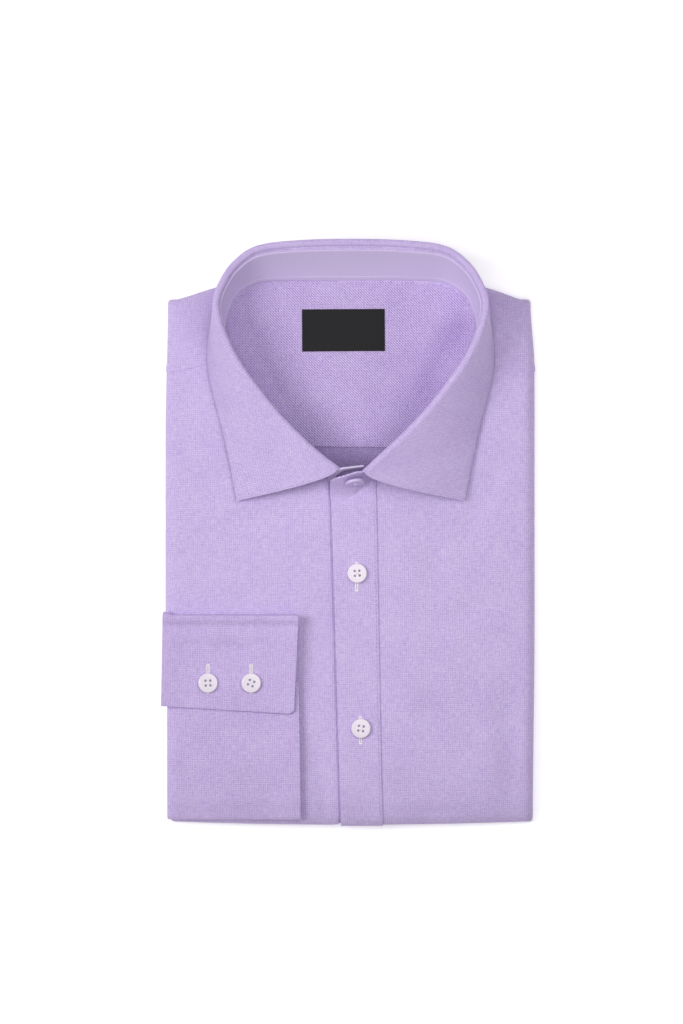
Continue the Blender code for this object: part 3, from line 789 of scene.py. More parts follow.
@dataclass
class BodyPanels:
    """The two fronts, the placket, the outer yoke and the hidden stack beneath them."""

    form: FoldedForm
    neckline: Neckline
    finishes: Wardrobe
    ply: float = 0.55
    placket_wall: float = 0.7
    placket_top: float = 28.0
    placket_columns: int = 15
    underlap: float = 19.0
    lap: float = 0.75
    neck_allowance: float = 1.2
    seam_lap: float = 0.8
    seam_lift: float = 0.5
    stitch_pitch: float = 2.6
    stitch_inset: float = 1.6
    wrap_steps: int = 9
    side_shift_from: float = 90.0
    layer_walls: tuple[float, float] = (1.9, 1.8)
    layer_reaches: tuple[float, float] = (0.25, 0.6)
    layer_gap: float = 0.04
    lip_depth: float = 1.5
    skin_gap: float = 0.35
    lap_room: float = 2.2
    layer_waver: float = 0.55
    outline_corner: float = 2.6
    tray_middle_y: float = -20.0
    tray_floor: float = 1.2
    creases: tuple[Crease, ...] = (
        Crease((-104.0, 62.0), (-40.0, 40.0), 6.0, 0.8),
        Crease((-96.0, -2.0), (-34.0, 12.0), 6.0, 0.7),
        Crease((30.0, 12.0), (70.0, -40.0), 7.0, 0.8),
        Crease((104.0, 60.0), (66.0, -8.0), 8.0, 1.2),
        Crease((108.0, -30.0), (46.0, -62.0), 7.0, 0.8),
        Crease((34.0, -96.0), (98.0, -128.0), 8.0, 1.6),
        Crease((96.0, -80.0), (104.0, -184.0), 9.0, 1.9),
        Crease((28.0, -144.0), (62.0, -186.0), 7.0, 1.6),
        Crease((-24.0, -20.0), (-18.0, -110.0), 5.0, 0.8),
        Crease((-22.0, -120.0), (-10.0, -188.0), 5.0, 1.3),
    )

    def surface(self, x: float, y: float) -> float:
        """How far creases and swells lift the fronts at a place."""
        return self.form.relief(x, y) - sum(crease.drop(x, y) for crease in self.creases)

    def lapped(self, x: float, y: float) -> float:
        """Work out how far the lower front dips under the upper one.

        Args:
            x, y: the place.
        Returns:
            The dip in millimetres.
        """
        edge = self.form.placket_edge(y)
        slope = 0.6 * smoothstep(edge - 5.0, edge - 0.8, x)
        return self.lap * (slope + smoothstep(edge - 1.7, edge - 0.3, x))

    def front_rows(self, side: Side, inner: Callable[[float], float], sink: Callable[[float, float], float],
                   across: Sequence[float], upward: int = 92) -> Rows:
        """Lay out one front, from its lower wrap to the yoke seam and the neckline.

        The lower and upper ends depend on x and the sides on y, so each point is placed twice.

        Args:
            side: which side of the body it covers.
            inner: the panel's edge at the middle, as a function of y.
            sink: how far it lies below the outer surface.
            across: shares of the panel's flat width that get a point.
            upward: points up the flat of the panel.
        Returns:
            Rows from the wrap up, each from left to right.
        """
        form = self.form
        sign = side.value
        rough_top = 60.0
        wraps = spread(0.0, 1.0, self.wrap_steps)[1:]
        steps = [(wrap, 0.0) for wrap in reversed(wraps)]
        steps += [(0.0, share) for share in spread(0.0, 1.0, upward)]
        stations = [(share, 0.0) for share in across] + [(1.0, wrap) for wrap in wraps]
        made = []
        for wrap_y, share_y in steps:
            row = []
            for share_x, wrap_x in stations:
                low = form.low + form.edge_radius
                y = low + (rough_top - low) * share_y
                x = inner(y) + (form.side_edge(side, y) - sign * form.edge_radius - inner(y)) * share_x
                low = form.fold_edge(x) + form.edge_radius
                if abs(x - form.middle) < COLLAR[7].seam[0]:
                    top = self.neckline.front(x) + self.neck_allowance
                else:
                    top = form.yoke_seam(x)
                y = low + (top - low) * share_y
                x = inner(y) + (form.side_edge(side, y) - sign * form.edge_radius - inner(y)) * share_x
                reach = form.wrap(x, y)
                row.append(form.place(x, y, sign * wrap_x * reach, -wrap_y * reach, sink(x, y),
                                      self.surface(x, y) * (1.0 - max(wrap_x, wrap_y))))
            made.append(row if side is Side.RIGHT else row[::-1])
        return made

    def build_fronts(self) -> None:
        """The wearer's left front, lapped over the right one."""
        upper = self.front_rows(Side.RIGHT, self.form.placket_edge, lambda x, y: 0.0, spread(0.0, 1.0, 46))
        piece = cloth_piece("left_front", upper, self.finishes.body, self.ply)
        stands_for(piece, "front_left")
        shares = spread(0.0, 0.15, 6) + spread(0.157, 0.19, 12) + spread(0.2, 1.0, 38)
        lower = self.front_rows(Side.LEFT, lambda y: self.form.placket_edge(y) + self.underlap, self.lapped,
                                shares)
        piece = cloth_piece("right_front", lower, self.finishes.body, self.ply)
        stands_for(piece, "front_right")

    def placket_rows(self) -> Rows:
        """Lay out the placket on the upper front, over the lower fold and up to the collar.

        Returns:
            Rows from its wrap round the lower fold up to the neck.
        """
        form = self.form
        rows = []
        for wrap in spread(1.0, 0.12, 8):
            row = []
            for x in spread(form.placket_edge(form.low), form.placket_seam(form.low), self.placket_columns):
                low = form.fold_edge(x) + form.edge_radius
                row.append(form.place(x, low, 0.0, -wrap * form.wrap(x, low), 0.0,
                                      self.surface(x, low) * (1.0 - wrap)))
            rows.append(row)
        start = form.fold_edge(form.middle) + form.edge_radius
        for share in spread(0.0, 1.0, 100):
            y = start + (self.placket_top - start) * share
            row = []
            for x in spread(form.placket_edge(y), form.placket_seam(y), self.placket_columns):
                top = self.placket_top
                if x > form.middle:
                    top = max(top, self.neckline.front(x) + self.neck_allowance)
                raised = start + (top - start) * share
                row.append(form.place(x, raised, extra=self.surface(x, raised)))
            rows.append(row)
        return rows

    def build_placket(self) -> None:
        """The placket, a folded band stitched down its inner side."""
        rows = lift(self.placket_rows(), 0.05)
        piece = cloth_piece("placket", rows, self.finishes.body, self.placket_wall, 1.0, 0.22, 0)
        stands_for(piece, "front_placket")
        line = []
        for row in rows[6:-2]:
            outer = row[-1][0]
            line.append(outer + Vector((-self.stitch_inset, 0.0, self.placket_wall + 0.02)))
        stitches = along(line, self.stitch_pitch)
        seam = stitch_row("placket_stitches", stitches, 1.9, 0.2, self.finishes.thread)

    def yoke_rows(self) -> Rows:
        """Lay out the outer yoke: over both shoulders' fold and behind the neck.

        Returns:
            Rows from the forward seams back and round the fold, each from left to right.
        """
        form = self.form
        half = COLLAR[6].seam[0]
        flat_half = form.right - form.middle - form.edge_radius
        right = spread(half + 1.6, flat_half, 16)
        inside = [0.0, 12.0, 22.0, 32.0, 42.0, 50.0, 56.0, 61.0, 65.0, 68.5, 71.5, 74.5, half - 0.8]
        places = [(-x, 0.0) for x in reversed(right)] + [(-x, 0.0) for x in reversed(inside[1:])]
        places += [(x, 0.0) for x in inside + right]
        wraps = spread(0.0, 1.0, self.wrap_steps)[1:]
        places = ([(-flat_half, -wrap) for wrap in reversed(wraps)] + places
                  + [(flat_half, wrap) for wrap in wraps])
        steps = [(share, 0.0) for share in spread(0.0, 1.0, 26)] + [(1.0, wrap) for wrap in wraps]
        rows = []
        for share, wrap_y in steps:
            row = []
            for away, wrap_x in places:
                x = form.middle + away
                if abs(away) > half:
                    low = form.yoke_seam(x) - self.seam_lap
                else:
                    low = self.neckline.back(x) - self.neck_allowance
                top = form.shoulder_edge(x) - form.edge_radius
                if abs(away) <= half:
                    top = max(top, low + 1.5)
                y = low + (top - low) * share
                edge = form.side_edge(Side.RIGHT if away > 0.0 else Side.LEFT, y)
                edge -= math.copysign(form.edge_radius, away)
                if wrap_x:
                    x = edge
                elif abs(away) > self.side_shift_from:
                    shift = edge - form.middle - math.copysign(flat_half, away)
                    x += shift * (abs(away) - self.side_shift_from) / (flat_half - self.side_shift_from)
                reach = form.wrap(x, y)
                fade = 1.0 - max(abs(wrap_x), wrap_y)
                lapped = self.seam_lift * smoothstep(low + 6.0, low + 1.0, y) if abs(away) > half else 0.0
                lifted = self.surface(x, y) * fade
                row.append(form.place(x, y, wrap_x * reach, wrap_y * reach, -lapped, lifted))
            rows.append(row)
        return rows

    def build_yoke(self) -> None:
        """The outer yoke, whose forward seams show on both shoulders."""
        rows = self.yoke_rows()
        piece = cloth_piece("outer_yoke", rows, self.finishes.body, self.ply, edge=0.15)
        stands_for(piece, "yoke")

    def build_stack(self) -> None:
        """The hidden back, sleeves and tail: folded layers whose rounded lips show at the edges."""
        skin = self.ply + self.skin_gap
        rings = []
        base = 0.0
        for number, (wall, reach) in enumerate(zip(self.layer_walls, self.layer_reaches)):
            for angle in (-90.0, -50.0, 0.0, 50.0, 90.0):
                turn = math.radians(angle)
                height = base + wall * (0.5 + 0.5 * math.sin(turn))
                outline = self.outline(reach + self.lip_depth * (1.0 - math.cos(turn)), float(number))
                rings.append([Vector((x, y, height)) for x, y in outline])
            base += wall + self.layer_gap
        radius = self.form.edge_radius - skin
        for angle in spread(0.0, 90.0, 6):
            turn = math.radians(angle)
            ring = []
            for x, y in self.outline(skin + radius * (1.0 - math.cos(turn)), None):
                top = self.form.height(x, y) - skin - self.lap_room * self.lapped(x, y)
                ring.append(Vector((x, y, top - radius * (1.0 - math.sin(turn)))))
            rings.append(ring)
        middle = Vector((self.form.middle, self.tray_middle_y, self.tray_floor))
        for share, sunk in ((0.985, 3.0), (0.965, None), (0.8, None), (0.5, None), (0.2, None)):
            ring = []
            for x, y in self.outline(self.form.edge_radius, None):
                place = middle.lerp(Vector((x, y, self.tray_floor)), share)
                if sunk is not None:
                    room = self.lap_room * self.lapped(place.x, place.y)
                    place.z = self.form.height(place.x, place.y) - skin - room - sunk
                ring.append(place)
            rings.append(ring)
        piece = ring_piece("folded_back_and_sleeves", rings, self.finishes.body)
        stands_for(piece, "folded_layers")

    def outline(self, inset: float, number: float | None) -> list[tuple[float, float]]:
        """Walk the body's outline once round, from the lower left.

        Args:
            inset: how far inside the outline to walk.
            number: which folded layer this is, for its own uneven edge, or none for the smooth upper part.
        Returns:
            The x and y of each point.
        """
        form = self.form
        corner = self.outline_corner
        walk = []
        low_left = form.left_edge(form.low) + inset + corner
        low_right = form.right_edge(form.low) - inset - corner
        for x in spread(low_left, low_right, 56):
            dip = self.lap_room * self.lapped(x, form.low) if number is None else 0.0
            walk.append((x, form.fold_edge(x) + inset + dip, 0.0, 1.0))
        for y in spread(form.low + inset + corner, form.shoulder_end - inset - corner, 76):
            walk.append((form.right_edge(y) - inset, y, -1.0, 0.0))
        top_left = form.left_edge(form.shoulder_end) + inset + corner
        top_right = form.right_edge(form.shoulder_end) - inset - corner
        for x in spread(top_right, top_left, 56):
            walk.append((x, form.shoulder_edge(x) - inset, 0.0, -1.0))
        for y in spread(form.shoulder_end - inset - corner, form.low + inset + corner, 76):
            walk.append((form.left_edge(y) + inset, y, 1.0, 0.0))
        if number is None:
            return [(x, y) for x, y, _, _ in walk]
        wobbled = []
        for x, y, in_x, in_y in walk:
            shift = self.layer_waver * (1.0 + ripple(x, y, 34.0, 20.0 + 7.0 * number))
            wobbled.append((x + in_x * shift, y + in_y * shift))
        return wobbled


# Inside the neck


@dataclass
class NeckInside:
    """What shows through the collar ring: the inner yoke, the back below it and the maker's label."""

    form: FoldedForm
    neckline: Neckline
    finishes: Wardrobe
    ply: float = 0.6
    floor: float = 8.8
    dome: float = 5.4
    dome_place: tuple[float, float] = (4.0, 94.0)
    dome_size: tuple[float, float] = (32.0, 42.0)
    side_rims: tuple[float, float] = (0.7, 0.92)
    side_dip: float = 1.4
    back_rim: tuple[float, float] = (112.0, 155.0)
    rim_fade: tuple[float, float] = (30.0, 110.0)
    seam_y: float = 53.0
    seam_slope: float = -0.014
    label_size: tuple[float, float] = (51.0, 26.0)
    label_middle: tuple[float, float] = (-2.5, 125.0)
    label_turn: float = 0.35
    label_wall: float = 0.45
    creases: tuple[Crease, ...] = (
        Crease((-62.0, 118.0), (-38.0, 74.0), 6.0, 0.9),
        Crease((112.0, 200.0), (28.0, 46.0), 12.0, 6.2),
        Crease((-20.0, 96.0), (4.0, 66.0), 6.0, 0.4),
        Crease((34.0, 104.0), (22.0, 70.0), 5.0, -0.4),
    )

    def height(self, x: float, y: float) -> float:
        """Shape the cloth inside the neck: a soft dome in the middle, and a rise to the neckline.

        Args:
            x, y: a place inside the ring.
        Returns:
            The cloth's height above the table.
        """
        half = max(self.neckline.half_width(y), 1.0)
        rim_from = self.side_rims[0] if x < self.form.middle else self.side_rims[1]
        side = smoothstep(rim_from, 1.0, abs(x - self.form.middle) / half)
        back = smoothstep(*self.back_rim, y)
        rim = self.form.height(x, y) - 0.4 - self.side_dip * side * (1.0 - back)
        share = max(side, back) * smoothstep(*self.rim_fade, y)
        aside = (x - self.dome_place[0]) / self.dome_size[0]
        onward = (y - self.dome_place[1]) / self.dome_size[1]
        dome = self.dome * math.exp(-aside ** 2 - onward ** 2)
        low = self.floor + dome + 0.4 * ripple(x, y, 24.0, 5.0)
        sunk = sum(crease.drop(x, y) for crease in self.creases) * (1.0 - max(side, back))
        return low + (rim - low) * share - sunk

    def rows(self, low: float, high: float, count: int, sink: float) -> Rows:
        """Lay cloth across the neck opening between two places along it.

        Args:
            low, high: where it starts and ends.
            count: how many rows.
            sink: how far below the inner yoke it lies.
        Returns:
            Rows from the front to the back.
        """
        made = []
        for y in spread(low, high, count):
            half = self.neckline.half_width(y) + 0.7
            row = []
            for share in spread(-1.0, 1.0, 64):
                x = self.form.middle + half * share
                row.append((Vector((x, y + self.seam_slope * x, self.height(x, y) - sink)), (x, y)))
            made.append(row)
        return made

    def build(self) -> None:
        """The inner yoke, the back panel tucked under its edge, and the label."""
        rows = self.rows(self.seam_y, 156.4, 66, 0.0)
        # The inner yoke's darker cloth colour is partly painted shade inside the collar ring.
        yoke = cloth_piece("inner_yoke", rows, self.finishes.inner, self.ply, edge=0.15, levels=0)
        stands_for(yoke, "yoke_lining")
        rows = self.rows(29.0, self.seam_y + 7.0, 22, 1.4)
        # The back's darker cloth colour is painted shade in the slot under the fronts' neck edges.
        back = cloth_piece("inner_back", rows, self.finishes.hidden, self.ply, levels=0)
        stands_for(back, "back_panel")
        self.build_label()

    def build_label(self) -> None:
        """The bare label, a thin satin piece laid on the inner yoke."""
        width, height = self.label_size
        rows = []
        for v in spread(-height / 2.0, height / 2.0, 16):
            row = []
            for u in spread(-width / 2.0, width / 2.0, 30):
                turn = math.radians(self.label_turn)
                x = self.label_middle[0] + u * math.cos(turn) - v * math.sin(turn)
                y = self.label_middle[1] + u * math.sin(turn) + v * math.cos(turn)
                row.append((Vector((x, y, self.height(x, y) + 0.08)), (u, v)))
            rows.append(row)
        label = cloth_piece("neck_label", rows, self.finishes.label, self.label_wall, 1.0, 0.12, 0)
        stands_for(label, "label")


# The collar


@dataclass
class Collar:
    """The stand, a band with two buttoned ends, and the leaf that folds over it."""

    form: FoldedForm
    finishes: Wardrobe
    stand_wall: float = 1.1
    leaf_wall: float = 1.0
    leaf_gap: float = 0.9
    roll_radius: float = 2.7
    stand_share: float = 0.9
    bulge: float = 1.8
    steps: int = 5
    end_columns: int = 12
    ring_y: float = 95.0
    seam_gap: float = 0.15
    front_belly: float = 1.9
    upper_end: tuple[tuple[float, ...], ...] = (
        (4.2, 21.6, 5.6, 37.5, 41.8), (-3.6, 20.6, -2.6, 35.0, 40.4),
        (-8.6, 20.6, -8.0, 33.5, 37.6), (-10.9, 20.8, -10.5, 32.2, 34.6),
    )
    lower_end: tuple[tuple[float, ...], ...] = (
        (-3.0, 38.4, -2.0, 40.0, 42.6), (8.6, 39.8, 9.9, 41.4, 41.4),
    )

    def runs(self) -> tuple[list[Vector], list[Vector], list[Vector]]:
        """Draw the collar's three lines, from the left front round the back to the right front.

        Returns:
            The seam, the roll and the outer edge.
        """
        middle = self.form.middle
        seams, rolls, edges = [], [], []
        for row, side in [(row, -1.0) for row in reversed(COLLAR[1:])] + [(row, 1.0) for row in COLLAR]:
            seam_x = middle + side * row.seam[0]
            height = self.form.height(seam_x, row.seam[1]) + self.seam_gap
            seams.append(Vector((seam_x, row.seam[1], height)))
            rolls.append(Vector((middle + side * row.roll[0], row.roll[1] - side * row.skew, row.roll[2])))
            edge_x = middle + side * row.edge[0]
            height = row.edge_height
            if height is None:
                height = self.form.height(edge_x, row.edge[1]) + self.leaf_gap + self.leaf_wall
            edges.append(Vector((edge_x, row.edge[1], height)))
        return smooth_run(seams, self.steps), smooth_run(rolls, self.steps), smooth_run(edges, self.steps)

    def leaf_path(self, seam: Vector, roll: Vector, edge: Vector, onward: Vector,
                  belly: float) -> list[Vector]:
        """Draw the leaf's outer face at one section: up from the stand, over the roll and down to the edge.

        Args:
            seam, roll, edge: the section's three places.
            onward: the way the roll runs on to the next section.
            belly: how far the section bows towards the hem.
        Returns:
            Points from the stand to the outer edge.
        """
        up = (roll - seam).normalized()
        fall = edge - roll
        flat = Vector((fall.x, fall.y, 0.0))
        outward = Vector((-onward.y, onward.x, 0.0)).normalized()
        crown = roll + outward * self.roll_radius
        path = [seam + (roll - seam) * self.stand_share + up * 0.15]
        for angle in spread(8.0, 132.0, 9):
            turn = math.radians(angle)
            lean = -outward * math.cos(turn) + Vector((0.0, 0.0, math.sin(turn) - 1.0))
            path.append(crown + lean * self.roll_radius)
        begin = path[-1]
        for share in spread(0.05, 1.0, 20):
            bow = math.sin(math.pi * min(share * 0.9, 1.0)) * self.bulge * min(1.0, flat.length / 30.0)
            point = begin + (edge - begin) * share
            path.append(point + Vector((0.0, -belly * math.sin(math.pi * share ** 0.6), bow)))
        return path

    def as_rows(self, paths: Sequence[Sequence[Vector]]) -> Rows:
        """Turn sections into rows that run along the collar, with the cloth's own measure on both.

        Args:
            paths: the collar's sections.
        Returns:
            Rows of points with their place on the cut cloth.
        """
        along_roll = [0.0]
        for before, after in zip(paths, paths[1:]):
            along_roll.append(along_roll[-1] + (after[-8] - before[-8]).length)
        climbs = []
        for path in paths:
            climb = [0.0]
            for before, after in zip(path, path[1:]):
                climb.append(climb[-1] + (after - before).length)
            climbs.append(climb)
        columns = list(zip(paths, along_roll, climbs))
        return [[(path[index], (place, climb[index])) for path, place, climb in columns]
                for index in range(len(paths[0]))]

    def inward(self, seam: Vector) -> Vector:
        """Point from a place on the seam to the ring's middle."""
        return Vector((self.form.middle - seam.x, self.ring_y - seam.y, 0.0)).normalized()

    def band_path(self, seam: Vector, top: Vector, sweep: float) -> list[Vector]:
        """Draw the stand's face at one section, hollowed a little between its two seams.

        Args:
            seam, top: where the section starts and ends.
            sweep: how much it leaves its seam level, as the buttoned end does, before it rises.
        Returns:
            Points from the seam up.
        """
        inward = self.inward(seam)
        path = []
        for share in spread(0.0, 1.0, 15):
            place = seam.lerp(top, share) - inward * 0.9 * math.sin(math.pi * share) * (1.0 - sweep)
            place.z = seam.z + (top.z - seam.z) * share ** (1.0 + 0.8 * sweep)
            path.append(place)
        return path

    def build(self) -> None:
        """The stand first, then the leaf over it, then the stand's lower stitching."""
        seams, rolls, edges = self.runs()
        band = []
        for x, y, top_x, top_y, top_z in reversed(self.lower_end):
            seam = Vector((x, y, self.form.height(x, y) + self.seam_gap))
            band.append((seam, Vector((top_x, top_y, top_z))))
        band += [(seam, seam.lerp(roll, self.stand_share)) for seam, roll in zip(seams, rolls)]
        for x, y, top_x, top_y, top_z in self.upper_end:
            band.append((Vector((x, y, self.form.height(x, y) + 0.5)), Vector((top_x, top_y, top_z))))
        starts = smooth_run([pair[0] for pair in band], 2)
        tops = smooth_run([pair[1] for pair in band], 2)
        end = len(starts) - self.end_columns
        sweeps = [smoothstep(end, end + 5.0, index) for index in range(len(starts))]
        rows = self.as_rows([self.band_path(*section) for section in zip(starts, tops, sweeps)])
        # The stand's paler cloth colour is partly painted light on its inner face.
        stand = cloth_piece("collar_band", rows, self.finishes.smooth, self.stand_wall, 0.0, 0.3, 0)
        stand.data.materials.append(self.finishes.body)
        for face in stand.data.polygons:
            face.material_index = int(face.index % (len(starts) - 1) > len(starts) - self.end_columns)
        stands_for(stand, "collar_stand")
        runs = [after - before for before, after in zip([rolls[0], *rolls], [*rolls[1:], rolls[-1]])]
        last = len(rolls) - 1
        belly = Ramp(7.0, 0.0, self.front_belly)
        bellies = [belly.at(min(index, last - index)) for index in range(last + 1)]
        sections = zip(seams, rolls, edges, runs, bellies)
        rows = self.as_rows([self.leaf_path(*section) for section in sections])
        leaf = cloth_piece("collar_fall", rows, self.finishes.leaf, self.leaf_wall, -1.0, 0.3, 0)
        stands_for(leaf, "collar_leaf")
        inner = []
        for seam, top in zip(starts[8:-10], tops[8:-10]):
            inner.append(seam.lerp(top, 0.13) + self.inward(seam) * (self.stand_wall / 2.0 - 0.2))
        line = stitch_row("stand_stitches", along(inner, 2.2), 2.0, 0.2, self.finishes.pale)


# The cuff


@dataclass(frozen=True)
class Station:
    """One step along the cuff: its place, its layer's two ends, and how flat it stays past the edge."""

    y: float
    above: float
    left: float
    right: float
    flat: float = 0.0


@dataclass
class BarrelCuff:
    """The flattened, lapped cuff over the front, and the sleeve that reaches it round the edge."""

    form: FoldedForm
    finishes: Wardrobe
    wall: float = 1.1
    gap: float = 0.2
    level: float = 1.75
    open_x: tuple[float, float] = (-30.6, -28.9)
    flap_open_x: tuple[float, float] = (-30.2, -33.0)
    seam_x: float = -112.6
    flap_x: tuple[float, float] = (-114.0, -114.9)
    top_y: float = -50.9
    top_rise: float = 2.0
    low_y: float = -176.3
    flap_end_y: float = -109.0
    flap_slope: float = 4.6
    under_end_y: float = -92.0
    corner: float = 2.6
    low_bend: float = 2.4
    top_bend: float = 3.4
    open_lift: Ramp = Ramp(-54.0, -31.0, 2.4)
    fold_puff: float = 2.2
    sleeve_wall: float = 0.9
    sleeve_gap: float = 0.25
    sleeve_foot: float = 1.4
    sleeve_slack: float = 0.35
    creases: tuple[Crease, ...] = (
        Crease((-150.0, -57.4), (8.0, -57.0), 3.0, 0.85),
        Crease((-86.0, -68.0), (-56.0, -75.0), 5.0, 2.8),
        Crease((-108.0, -67.0), (-84.0, -74.0), 4.5, 1.3),
        Crease((-76.0, -84.0), (-68.0, -110.0), 4.0, -1.1),
        Crease((-52.0, -78.0), (-36.0, -108.0), 5.0, 0.9),
        Crease((-108.0, -82.0), (-94.0, -108.0), 4.5, 0.8),
        Crease((-96.0, -128.0), (-48.0, -118.0), 6.0, 0.9),
        Crease((-72.0, -146.0), (-38.0, -168.0), 7.0, 1.1),
        Crease((-108.0, -136.0), (-84.0, -172.0), 6.0, 1.0),
        Crease((-150.0, -170.0), (8.0, -170.4), 3.6, 0.5),
    )

    def path(self, share: float) -> list[Station]:
        """Go round the barrel at one column, from the hidden lower end to the buttoned end.

        Args:
            share: how far across the column lies, from 0 at the sleeve to 1 at the open end.
        Returns:
            The column's steps, equally many for every column.
        """
        low = self.gap + self.wall / 2.0
        top_y = self.top_y + self.top_rise * smoothstep(0.07, 0.0, share)
        end_y = self.flap_end_y - self.flap_slope * (share - 0.5)
        open_high, open_low = self.open_x

        def plain(y: float, above: float) -> Station:
            """Take one step of the two lower layers."""
            down = smoothstep(self.top_y, self.low_y, y)
            return Station(y, above, self.seam_x, open_high + (open_low - open_high) * down)

        path = [plain(y, low + self.level) for y in spread(self.under_end_y, self.low_y + self.low_bend, 34)]
        for angle in spread(20.0, 160.0, 7):
            bend = math.radians(angle)
            above = low + self.level / 2.0 * (1.0 + math.cos(bend))
            path.append(plain(self.low_y + 1.0 - math.sin(bend), above))
        path += [plain(y, low) for y in spread(self.low_y + self.low_bend, top_y - self.top_bend, 40)]
        for angle in spread(15.0, 165.0, 9):
            bend = math.radians(angle)
            turned = smoothstep(0.0, 180.0, angle)
            left = self.seam_x + (self.flap_x[0] - self.seam_x) * turned
            right = open_high + (self.flap_open_x[0] - open_high) * turned
            above = low + self.level * (1.0 - math.cos(bend))
            path.append(Station(top_y - 2.0 * (1.0 - math.sin(bend)), above, left, right, turned))
        start_y = top_y - self.top_bend
        for y in spread(start_y, end_y, 34):
            down = (start_y - y) / (start_y - end_y)
            close = max(0.0, self.corner - (y - end_y))
            cut = self.corner - math.sqrt(max(0.0, self.corner ** 2 - close ** 2))
            left = self.flap_x[0] + (self.flap_x[1] - self.flap_x[0]) * down
            right = self.flap_open_x[0] + (self.flap_open_x[1] - self.flap_open_x[0]) * down - cut
            path.append(Station(y, low + 2.0 * self.level, left, right, 1.0))
        return path

    def lift_at(self, x: float, y: float, above: float) -> float:
        """Work out how far creases and slack raise one of the cuff's layers, more on the upper ones.

        Args:
            x, y: the place.
            above: the layer's height above the body.
        Returns:
            The rise in millimetres.
        """
        share = min(1.0, above / (2.0 * self.level))
        soft = 0.5 * ripple(x, y, 30.0, 12.0) - sum(crease.drop(x, y) for crease in self.creases)
        puff = self.fold_puff * smoothstep(self.top_y - 7.0, self.top_y - 1.2, y)
        return (soft + puff + self.open_lift.at(x)) * share

    def spot(self, across: float, station: Station) -> Vector:
        """Place one point of the cuff: lower layers bend round the body's edge, the flap stays flat.

        Args:
            across: its place across the cuff, measured along the cloth.
            station: the step it belongs to.
        Returns:
            The point in millimetres.
        """
        turn_x = self.form.left_edge(station.y) + self.form.edge_radius
        radius = self.form.edge_radius + station.above
        bend = max(0.0, turn_x - across) / radius
        bent_x = turn_x - radius * math.sin(bend) if bend else across
        bent = 1.0 - station.flat
        height = self.form.height(max(across, turn_x), station.y) + station.above
        height += self.lift_at(across, station.y, station.above) - radius * (1.0 - math.cos(bend)) * bent
        return Vector((across * station.flat + bent_x * bent, station.y, height))

    def build(self) -> None:
        """The cuff, then the sleeve."""
        rows = []
        for share in spread(0.0, 1.0, 60):
            row = []
            travelled = 0.0
            for station in self.path(share):
                across = station.left + (station.right - station.left) * share
                place = self.spot(across, station)
                travelled += (place - row[-1][0]).length if row else 0.0
                row.append((place, (across, travelled)))
            rows.append(row)
        cuff = cloth_piece("barrel_cuff", rows, self.finishes.pressed, self.wall, 0.0, 0.32, 0)
        stands_for(cuff, "cuff")
        self.build_sleeve()

    def build_sleeve(self) -> None:
        """The flattened sleeve: it leaves the cuff, turns down round the body's edge and tucks under."""
        radius = self.form.edge_radius + self.sleeve_gap
        rows = []
        for y in spread(self.top_y - 3.0, self.low_y + 1.2, 44):
            turn_x = self.form.left_edge(y) + self.form.edge_radius
            turn_z = self.form.height(turn_x, y) - self.form.edge_radius
            slack = self.sleeve_slack * ripple(0.0, y, 22.0, 31.0)
            row = []
            travelled = 0.0
            for angle in spread(48.0, 0.0, 10):
                bend = math.radians(angle)
                spot = Vector((turn_x - radius * math.cos(bend), y, turn_z + radius * math.sin(bend)))
                travelled += (spot - row[-1][0]).length if row else 0.0
                row.append((spot, (travelled, y)))
            for share in spread(0.2, 1.0, 6):
                bellied = slack * math.sin(math.pi * share)
                height = turn_z + (self.sleeve_foot - turn_z) * share
                spot = Vector((turn_x - radius + max(0.0, bellied), y, height))
                travelled += (spot - row[-1][0]).length
                row.append((spot, (travelled, y)))
            rows.append(row)
        sleeve = cloth_piece("sleeve_turn", rows, self.finishes.body, self.sleeve_wall, 1.0, 0.25, 0)
        stands_for(sleeve, "sleeve")


# Buttons and buttonholes


